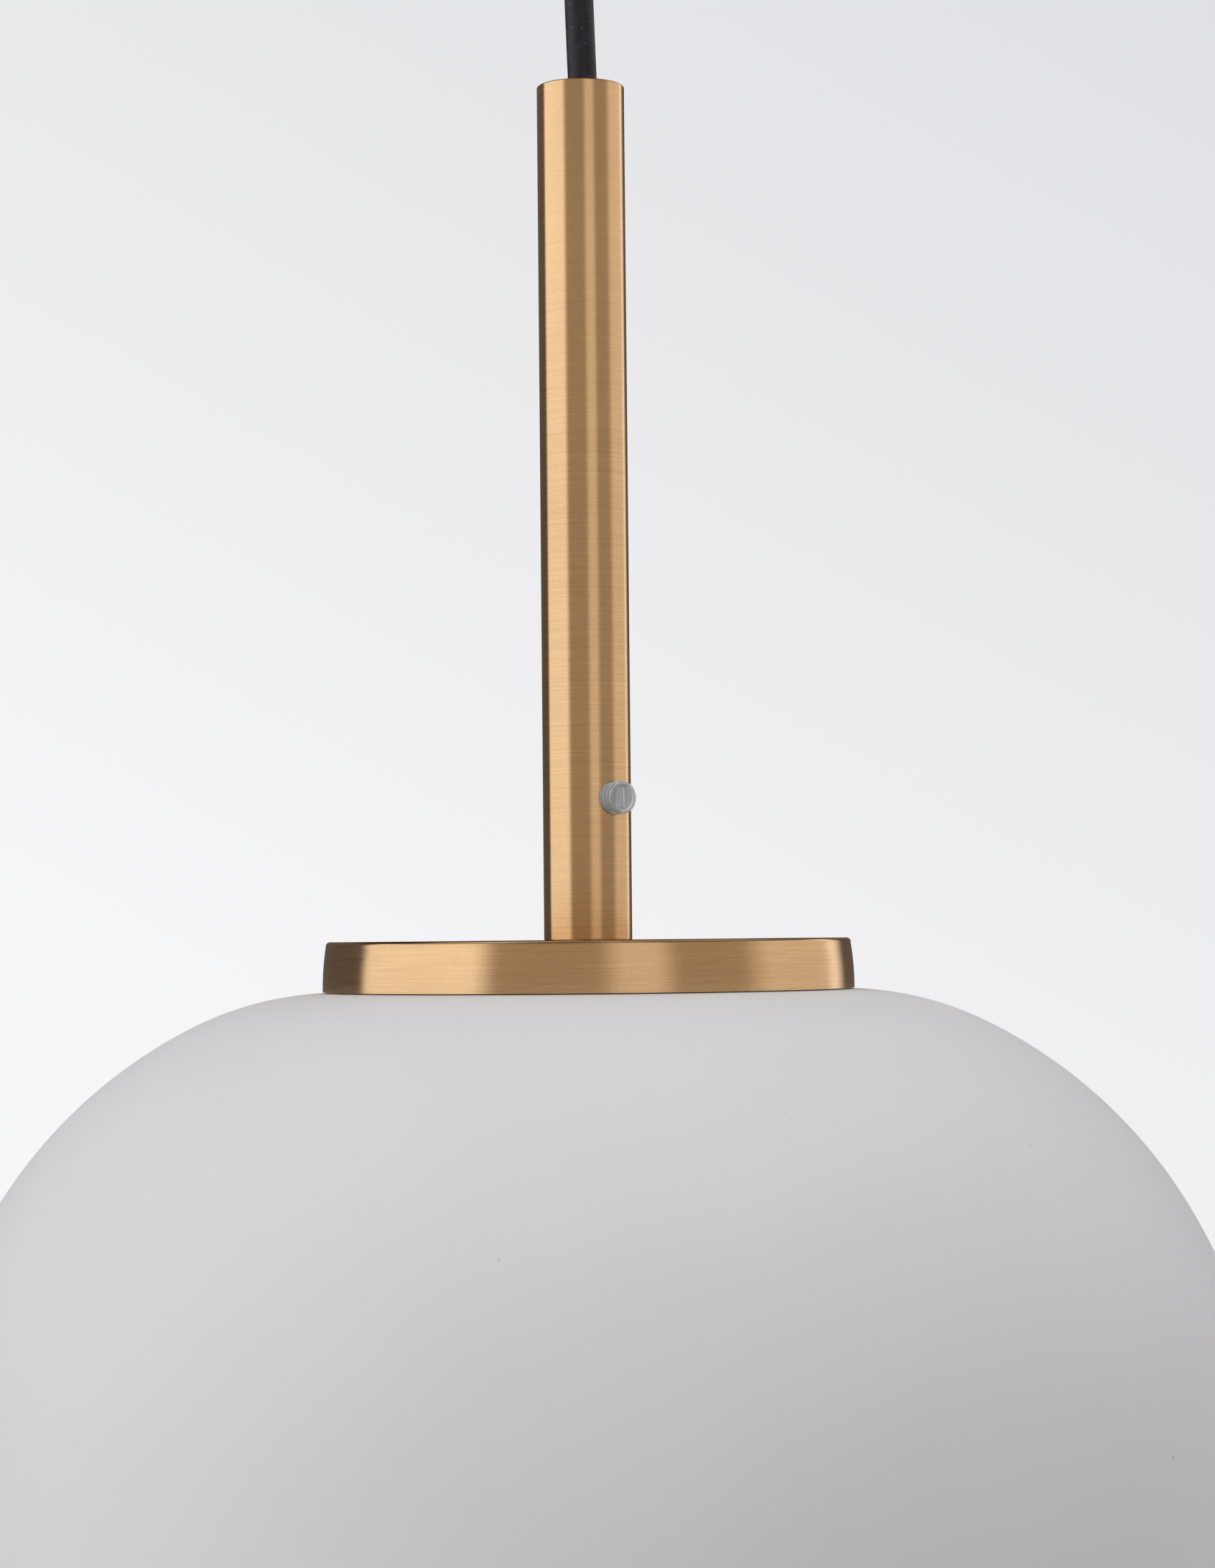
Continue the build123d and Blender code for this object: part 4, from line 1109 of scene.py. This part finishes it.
# %% Terminal block
terminal_low, terminal_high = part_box("terminal_block")
terminal_block = in_scene("terminal_housing", block_mesh(terminal_low, terminal_high))
terminal_block.data.materials.append(PALE_PLASTIC)
mid_x = (terminal_low.x + terminal_high.x) / 2
for side in (-4.5 * MM, 4.5 * MM):
    cut_by(terminal_block, block_mesh(
        (mid_x + side - 0.5 * MM, terminal_low.y - MM, terminal_high.z - 0.8 * MM),
        (mid_x + side + 0.5 * MM, terminal_high.y + MM, terminal_high.z + MM)))
edge_round(terminal_block, 0.25)
for way in (-9 * MM, 0, 9 * MM):
    for spot, radius, depth in ((20.5, 1.3, 7.0), (27.0, 1.9, 4.0)):
        drilled(terminal_block, radius * MM, 12 * MM, Matrix.Translation(
            (way, spot * MM, terminal_high.z - depth * MM)))
print("terminal block has", len(terminal_block.data.polygons), "faces")

# %% Gasket
gasket = turned("seat_gasket", rounded([
    (45.6, 0.8, 0.5), (45.6, -NECK_TOP, 0.3), (41.8, -NECK_TOP, 0.3), (41.8, 0.8, 0.5)]),
    SILICONE, steps=180)
print("gasket has", len(gasket.data.polygons), "faces")

# %% [markdown]
# ## The lampholder and the bulb
#
# The lampholder is a pressed steel housing in two halves, powder coated white, with a rolled
# joint between them. Inside it a glazed ceramic core carries a nickelled sleeve with the wide
# round thread of a lamp base. The bulb is frosted glass blown into a ball, cemented into a
# screw cap with the same thread.

# %% Turn the lampholder
holder_dome = turned("lampholder_top", rounded([
    (5.02, 6.8, 0.2), (9.0, 6.8, 0.5), (9.0, 12.0, 1.0), (19.5, 18.0, 3.0), (19.5, 34.0, 0.3),
    (18.3, 34.0, 0.1), (18.3, 18.7, 2.0), (8.0, 13.2, 0.5), (5.02, 13.2, 0.1)]),
    POWDER_COAT, steps=160)
skirt_outline = rounded([
    (19.5, 34.1, 0.3), (19.5, 64.0, 1.6), (14.4, 64.0, 0.3), (14.4, 62.8, 0.3),
    (18.3, 62.8, 0.8), (18.3, 34.1, 0.1)])
collar = [p for p in skirt_outline if abs(p[0] - 19.5 * MM) < 1e-6]
first = skirt_outline.index(collar[0])
wall = [z for _, z in steps_between(0, collar[0][1], collar[1][1], 48)][1:-1]
skirt_outline[first + 1:first + 1] = [(19.5 * MM, z) for z in wall]
holder_skirt = turned("lampholder_skirt_blank", skirt_outline, POWDER_COAT, steps=360)
holder_skirt = ridged(holder_skirt, "lampholder_bottom", POWDER_COAT, 0, 60, 0.35 * MM,
                      CAP_TOP - 47 * MM, CAP_TOP - 37 * MM, 19.4 * MM)
holder_core = turned("ceramic_core", rounded([
    (0, 24.0, 0), (16.5, 24.0, 0.8), (16.5, 61.0, 0.5), (14.3, 61.0, 0.3), (14.3, 33.0, 0.5),
    (0, 33.0, 0)]), CERAMIC, steps=128)
print("lampholder made")

# %% Thread sleeve, bulb and its cap
LAMP_PITCH = 3.6 * MM
sleeve = turned("sleeve_blank", [(13.5 * MM, CAP_TOP - 35 * MM)]
                + steps_between(14.2 * MM, CAP_TOP - 35 * MM, CAP_TOP - 58 * MM, 90)
                + [(13.5 * MM, CAP_TOP - 58 * MM)], NICKEL, steps=96)
sleeve = ridged(sleeve, "nickelled_sleeve", NICKEL, LAMP_PITCH, 1, 0.35 * MM, CAP_TOP - 57 * MM,
                CAP_TOP - 36 * MM, 14 * MM)
bulb_cap_outline = rounded([(0, 40.0, 0), (11.0, 40.0, 0.5), (12.4, 41.8, 0.4)])
bulb_cap_outline += steps_between(13.05 * MM, CAP_TOP - 42 * MM, CAP_TOP - 61 * MM, 90)
bulb_cap_outline += [(12.45 * MM, CAP_TOP - 61 * MM), (12.0 * MM, CAP_TOP - 41.4 * MM),
                     (0, CAP_TOP - 40.6 * MM)]
bulb_cap = turned("bulb_cap_blank", bulb_cap_outline, NICKEL, steps=96)
bulb_cap = ridged(bulb_cap, "bulb_thread_cap", NICKEL, LAMP_PITCH, 1, 0.6 * MM,
                  CAP_TOP - 57 * MM, CAP_TOP - 42.4 * MM, 13 * MM)
bulb_tip = turned("bulb_solder_tip", rounded([
    (0, 36.4, 0), (4.5, 36.4, 0.3), (4.5, 34.9, 1.0), (0, 34.9, 0)]), NICKEL, steps=64)
bulb_base = turned("bulb_black_base", rounded([
    (0, 36.4, 0), (4.5, 36.4, 0.2), (11.0, 40.0, 0.3), (0, 40.0, 0)]), BLACK_GLASS, steps=96)

BALL_R = 29.55
BALL_DEPTH = 110.0
BULB_NECK_R = 11.95
BULB_SHOULDER = 62.0
reach = hypot(BULB_NECK_R, BALL_DEPTH - BULB_SHOULDER)
rise = degrees(asin(BALL_R / reach) - asin(BULB_NECK_R / reach))


def bulb_wall(inset):
    """The bulb's outline in mm, from the neck's top to the bottom of the ball."""
    points = [(BULB_NECK_R - inset, 45.45 + inset), (BULB_NECK_R - inset, BULB_SHOULDER - 1.5),
              (BULB_NECK_R - inset + 0.15, BULB_SHOULDER + 1.0)]
    for step in range(61):
        turn = radians(rise - (rise + 90) * step / 60)
        points.append(((BALL_R - inset) * cos(turn), BALL_DEPTH - (BALL_R - inset) * sin(turn)))
    return points


bulb_outline = bulb_wall(0) + list(reversed(bulb_wall(0.8)))
bulb_outline = [(max(r, 0) * MM, CAP_TOP - z * MM) for r, z in bulb_outline]
bulb_outline = [(0, bulb_outline[0][1])] + bulb_outline + [(0, bulb_outline[-1][1])]
bulb_glass = turned("frosted_bulb", bulb_outline, FROSTED, steps=160)
print("bulb glass has", len(bulb_glass.data.polygons), "faces")

# %% [markdown]
# ## Joining pieces to the model
#
# Each piece rides on the body that carries it and hides the CAD node that it stands for, and its
# row also gives a finish slot name. The CAD nodes that are left keep their shapes and only get a finish.

# %% Ride on bodies and hide the CAD nodes
JOINED = [
    (canopy, "canopy", "satin_brass", "canopy_cup"),
    (side_screws, "canopy", "satin_brass", "canopy_side_screws"),
    (cord_grip, "canopy", "satin_brass", "cord_grip_body"),
    (grip_screw, "canopy", "clear_nylon", "cord_grip_screw"),
    (bracket, "canopy", "zinc_steel", "ceiling_bracket"),
    (earth_screw, "canopy", "zinc_steel", "bracket_earth_screw"),
    (terminal_block, "canopy", "terminal_plastic", "terminal_block"),
    (terminal_screws, "canopy", "raw_brass", "terminal_screws"),
    (stem, "lamp", "satin_brass", "stem_tube"),
    (cap, "lamp", "satin_brass", "cap_shell"),
    (gasket, "lamp", "silicone", "shade_gasket"),
    (spring_arms, "lamp", "spring_steel", "spring_arm_1", "spring_arm_2", "spring_arm_3"),
    (rivets, "lamp", "zinc_steel", "arm_rivets"),
    (holder_dome, "lamp", "holder_enamel", "lampholder_dome"),
    (holder_skirt, "lamp", "holder_enamel", "lampholder_skirt"),
    (holder_core, "lamp", "holder_ceramic", "lampholder_core"),
    (sleeve, "lamp", "nickelled_brass", "thread_shell"),
    (holder_screws, "lamp", "zinc_steel", "holder_terminal_screws"),
    (clamp_screw, "clamp_screw", "clear_nylon", "clamp_screw"),
    (globe, "shade", "opal_glass", "shade_glass"),
    (bulb_glass, "bulb", "frosted_glass", "bulb_envelope"),
    (bulb_cap, "bulb", "nickelled_brass", "bulb_screw_cap"),
    (bulb_tip, "bulb", "nickelled_brass", "bulb_tip_contact"),
    (bulb_base, "bulb", "black_glass", "bulb_insulator"),
]
for piece, body, slot, *nodes in JOINED:
    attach(piece, body)
    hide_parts(*nodes)
print(len(JOINED), "pieces joined")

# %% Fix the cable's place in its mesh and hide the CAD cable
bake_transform(cable)
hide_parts("supply_cable")

# %% Finishes for the CAD nodes that keep their shapes
KEPT = {
    "stem_bushing": TURNED_BRASS, "clamp_bushing": TURNED_BRASS, "threaded_nipple": TURNED_BRASS,
    "cord_grip_nut": TURNED_BRASS, "nipple_nut": TURNED_BRASS, "centre_contact": TURNED_BRASS,
    "holder_terminals": TURNED_BRASS, "cord_grip_washer": ZINC, "carrier_plate": ZINC,
    "lock_washer": ZINC, "cable_in_canopy": SHEATH, "cable_in_stem": SHEATH,
    "canopy_core_live": BROWN_CORE, "holder_core_live": BROWN_CORE,
    "canopy_core_neutral": BLUE_CORE, "holder_core_neutral": BLUE_CORE,
    "canopy_core_earth": EARTH_CORE, "holder_core_earth": EARTH_CORE,
}
for node, finish in KEPT.items():
    data = frame["nodes"][node].data
    data.materials.clear()
    data.materials.append(finish)
print(len(KEPT), "nodes keep their shapes")

# %% [markdown]
# ## The studio
#
# Brass shows what stands around it. A wide white panel stands on the left, a narrow soft one
# beside the camera, a wide soft one on the right and a thin white strip behind that, with dull
# gaps between them and a dark room behind: those are the bands in the metal. Four tones do for
# all of them. They are painted on the world by direction, and only reflections see them.

# %% Paint the studio on the world
LIGHT, SOFT, GAP, ROOM = "F2EAE6", "CCC0B8", "988A7E", "564F4B"
# Each zone: the bearings where it starts and ends, in degrees to the right of the camera.
ZONES = [
    (-180, -115, ROOM), (-110, -50, LIGHT), (-40, 5, GAP), (15, 30, SOFT), (40, 70, GAP),
    (85, 125, SOFT), (130, 135, LIGHT), (145, 180, ROOM),
]
BANDS = [(bearing, tone) for start, end, tone in ZONES for bearing in (start, end)]
# The same panels by height: the angle above the horizon, and how bright they are there.
HEIGHTS = [(-90, 0.7), (-30, 1.0), (8, 1.0), (18, 1.25), (26, 1.0), (33, 0.15), (42, 0.2),
           (55, 0.6), (90, 0.7)]
PANEL_STRENGTH = 1.2
world = bpy.data.worlds.new("studio")
world.use_nodes = True
bpy.context.scene.world = world
tree = world.node_tree
toward = add(tree, "ShaderNodeTexCoord").outputs["Generated"]
parts = add(tree, "ShaderNodeSeparateXYZ", {0: toward}).outputs
front = add(tree, "ShaderNodeMath", {0: parts["Y"], 1: -1.0}, operation="MULTIPLY")
bearing = add(tree, "ShaderNodeMath", {0: parts["X"], 1: front}, operation="ARCTAN2")
share = add(tree, "ShaderNodeMapRange", {"Value": bearing, "From Min": -pi,
                                         "From Max": pi})
panels = add(tree, "ShaderNodeValToRGB", {"Fac": share})
stops = panels.color_ramp.elements
for index, (angle, colour) in enumerate(BANDS):
    position = angle / 360 + 0.5
    stop = stops[index] if index < 2 else stops.new(position)
    stop.position = position
    stop.color = linear(colour)
by_height = add(tree, "ShaderNodeMath", {0: parts["Z"]}, operation="ARCSINE")
level = add(tree, "ShaderNodeMapRange", {"Value": by_height, "From Min": -pi / 2,
                                         "From Max": pi / 2})
tiers = add(tree, "ShaderNodeValToRGB", {"Fac": level})
rows = tiers.color_ramp.elements
for index, (angle, power) in enumerate(HEIGHTS):
    position = angle / 180 + 0.5
    row = rows[index] if index < 2 else rows.new(position)
    row.position = position
    row.color = (power / 1.25, power / 1.25, power / 1.25, 1)
lit_panels = add(tree, "ShaderNodeVectorMath", {0: panels, 1: tiers},
                 operation="MULTIPLY")
strong_panels = add(tree, "ShaderNodeVectorMath", {0: lit_panels,
                                                   "Scale": PANEL_STRENGTH * 1.25},
                    operation="SCALE")
print("studio has", len(stops), "bands in", len(rows), "tiers")

# %% [markdown]
# The backdrop behind the lamp is white paper, with painted shade that darkens it a little towards
# its top right corner. The camera sees it, and so does a look through clear plastic. What is
# left, the weak light that comes from everywhere, keeps the shadows soft.

# %% Backdrop, weak light all round, and which rays see what
# Painted shade on the backdrop: the white paper is coloured darker towards its top right corner.
PAINTED_FALL_OFF = [(-0.1, "F7F7F8"), (0.34, "E0E0E4")]
ALL_ROUND = 0.2
corner = add(tree, "ShaderNodeMath", {0: parts["X"], 1: 0.55, 2: parts["Z"]},
             operation="MULTIPLY_ADD")
paper_place = add(tree, "ShaderNodeMapRange", {"Value": corner, "From Min": -0.1,
                                               "From Max": 0.34})
paper = add(tree, "ShaderNodeValToRGB", {"Fac": paper_place})
tones = paper.color_ramp.elements
for index, (spot, colour) in enumerate(PAINTED_FALL_OFF):
    position = (spot + 0.1) / 0.44
    tone = tones[index] if index < 2 else tones.new(position)
    tone.position = position
    tone.color = linear(colour)
rays = add(tree, "ShaderNodeLightPath").outputs
lit = add(tree, "ShaderNodeMix", {"Factor": rays["Is Glossy Ray"],
                                  6: (ALL_ROUND, ALL_ROUND, ALL_ROUND, 1),
                                  7: strong_panels}, data_type="RGBA")
straight = add(tree, "ShaderNodeMath", {0: rays["Is Camera Ray"], 1: rays["Is Transmission Ray"]},
               operation="MAXIMUM")
seen = add(tree, "ShaderNodeMix", {"Factor": straight, 6: lit.outputs[2],
                                   7: paper}, data_type="RGBA")
tree.links.new(seen.outputs[2], tree.nodes["Background"].inputs["Color"])
print("backdrop and light all round")

# %% [markdown]
# Four soft boxes shape the globe: one in front on the left, one right above, one low on the
# left and one on the right. They don't show in reflections, where the painted panels already
# stand for them. The floor is a plain pale disc, a good way below the lamp, and it fades out
# towards its rim so that no edge shows against the backdrop. From below it is not there at all.

# %% Lights
def softbox(name, place, size, power):
    """Square area light aimed at the globe."""
    light = bpy.data.lights.new(name, "AREA")
    light.size = size
    light.energy = power
    lamp = bpy.data.objects.new(name, light)
    lamp.location = place
    aim = Vector((0, 0, CAP_TOP - 0.09)) - Vector(place)
    lamp.rotation_euler = aim.to_track_quat("-Z", "Y").to_euler()
    lamp.visible_glossy = False
    lamp.visible_camera = False
    bpy.context.scene.collection.objects.link(lamp)


softbox("front_left", (-1.1, -1.4, 0.7), 1.2, 13)
softbox("overhead", (0.0, 0.1, 1.5), 1.8, 20)
softbox("low_left", (-1.6, -0.8, -0.6), 1.4, 9)
softbox("right", (1.7, -0.5, 0.2), 1.4, 10)
print("lit by four soft boxes")

# %% Floor
FLOOR_Z = -1.3
FLOOR_R = 3.5
FADE_FROM = 1.0


def pale_floor():
    """Matt white paper that fades out towards its rim."""
    material, tree, shader, place = new_finish("pale_paper_floor")
    grain = add(tree, "ShaderNodeTexNoise", {"Vector": place, "Scale": 1 / (60 * MM)})
    colour = add(tree, "ShaderNodeMix", {"Factor": grain.outputs["Fac"], 6: linear("F5F5F7"),
                                         7: linear("F9F9FA")}, data_type="RGBA")
    tree.links.new(colour.outputs[2], shader.inputs["Base Color"])
    flat = add(tree, "ShaderNodeVectorMath", {0: place, 1: (1, 1, 0)}, operation="MULTIPLY")
    radius = add(tree, "ShaderNodeVectorMath", {0: flat}, operation="LENGTH")
    fade = add(tree, "ShaderNodeMapRange", {"Value": radius.outputs["Value"],
                                            "From Min": FADE_FROM, "From Max": FLOOR_R - 0.2,
                                            "To Min": 1.0, "To Max": 0.0},
               interpolation_type="SMOOTHSTEP")
    above = add(tree, "ShaderNodeMath", {0: 1.0, 1: add(
        tree, "ShaderNodeNewGeometry").outputs["Backfacing"]}, operation="SUBTRACT")
    shown = add(tree, "ShaderNodeMath", {0: fade, 1: above},
                operation="MULTIPLY")
    tree.links.new(shown.outputs[0], shader.inputs["Alpha"])
    shader.inputs["Roughness"].default_value = 0.8
    return material


mesh = bmesh.new()
bmesh.ops.create_circle(mesh, cap_ends=True, segments=96, radius=FLOOR_R)
data = keep_mesh(mesh, "floor")
data.transform(Matrix.Translation((0, 0, FLOOR_Z)))
floor = in_scene("floor", data)
floor.data.materials.append(pale_floor())
floor.visible_glossy = False
bpy.context.scene.view_settings.view_transform = "Standard"
print("floor at", FLOOR_Z, "m")
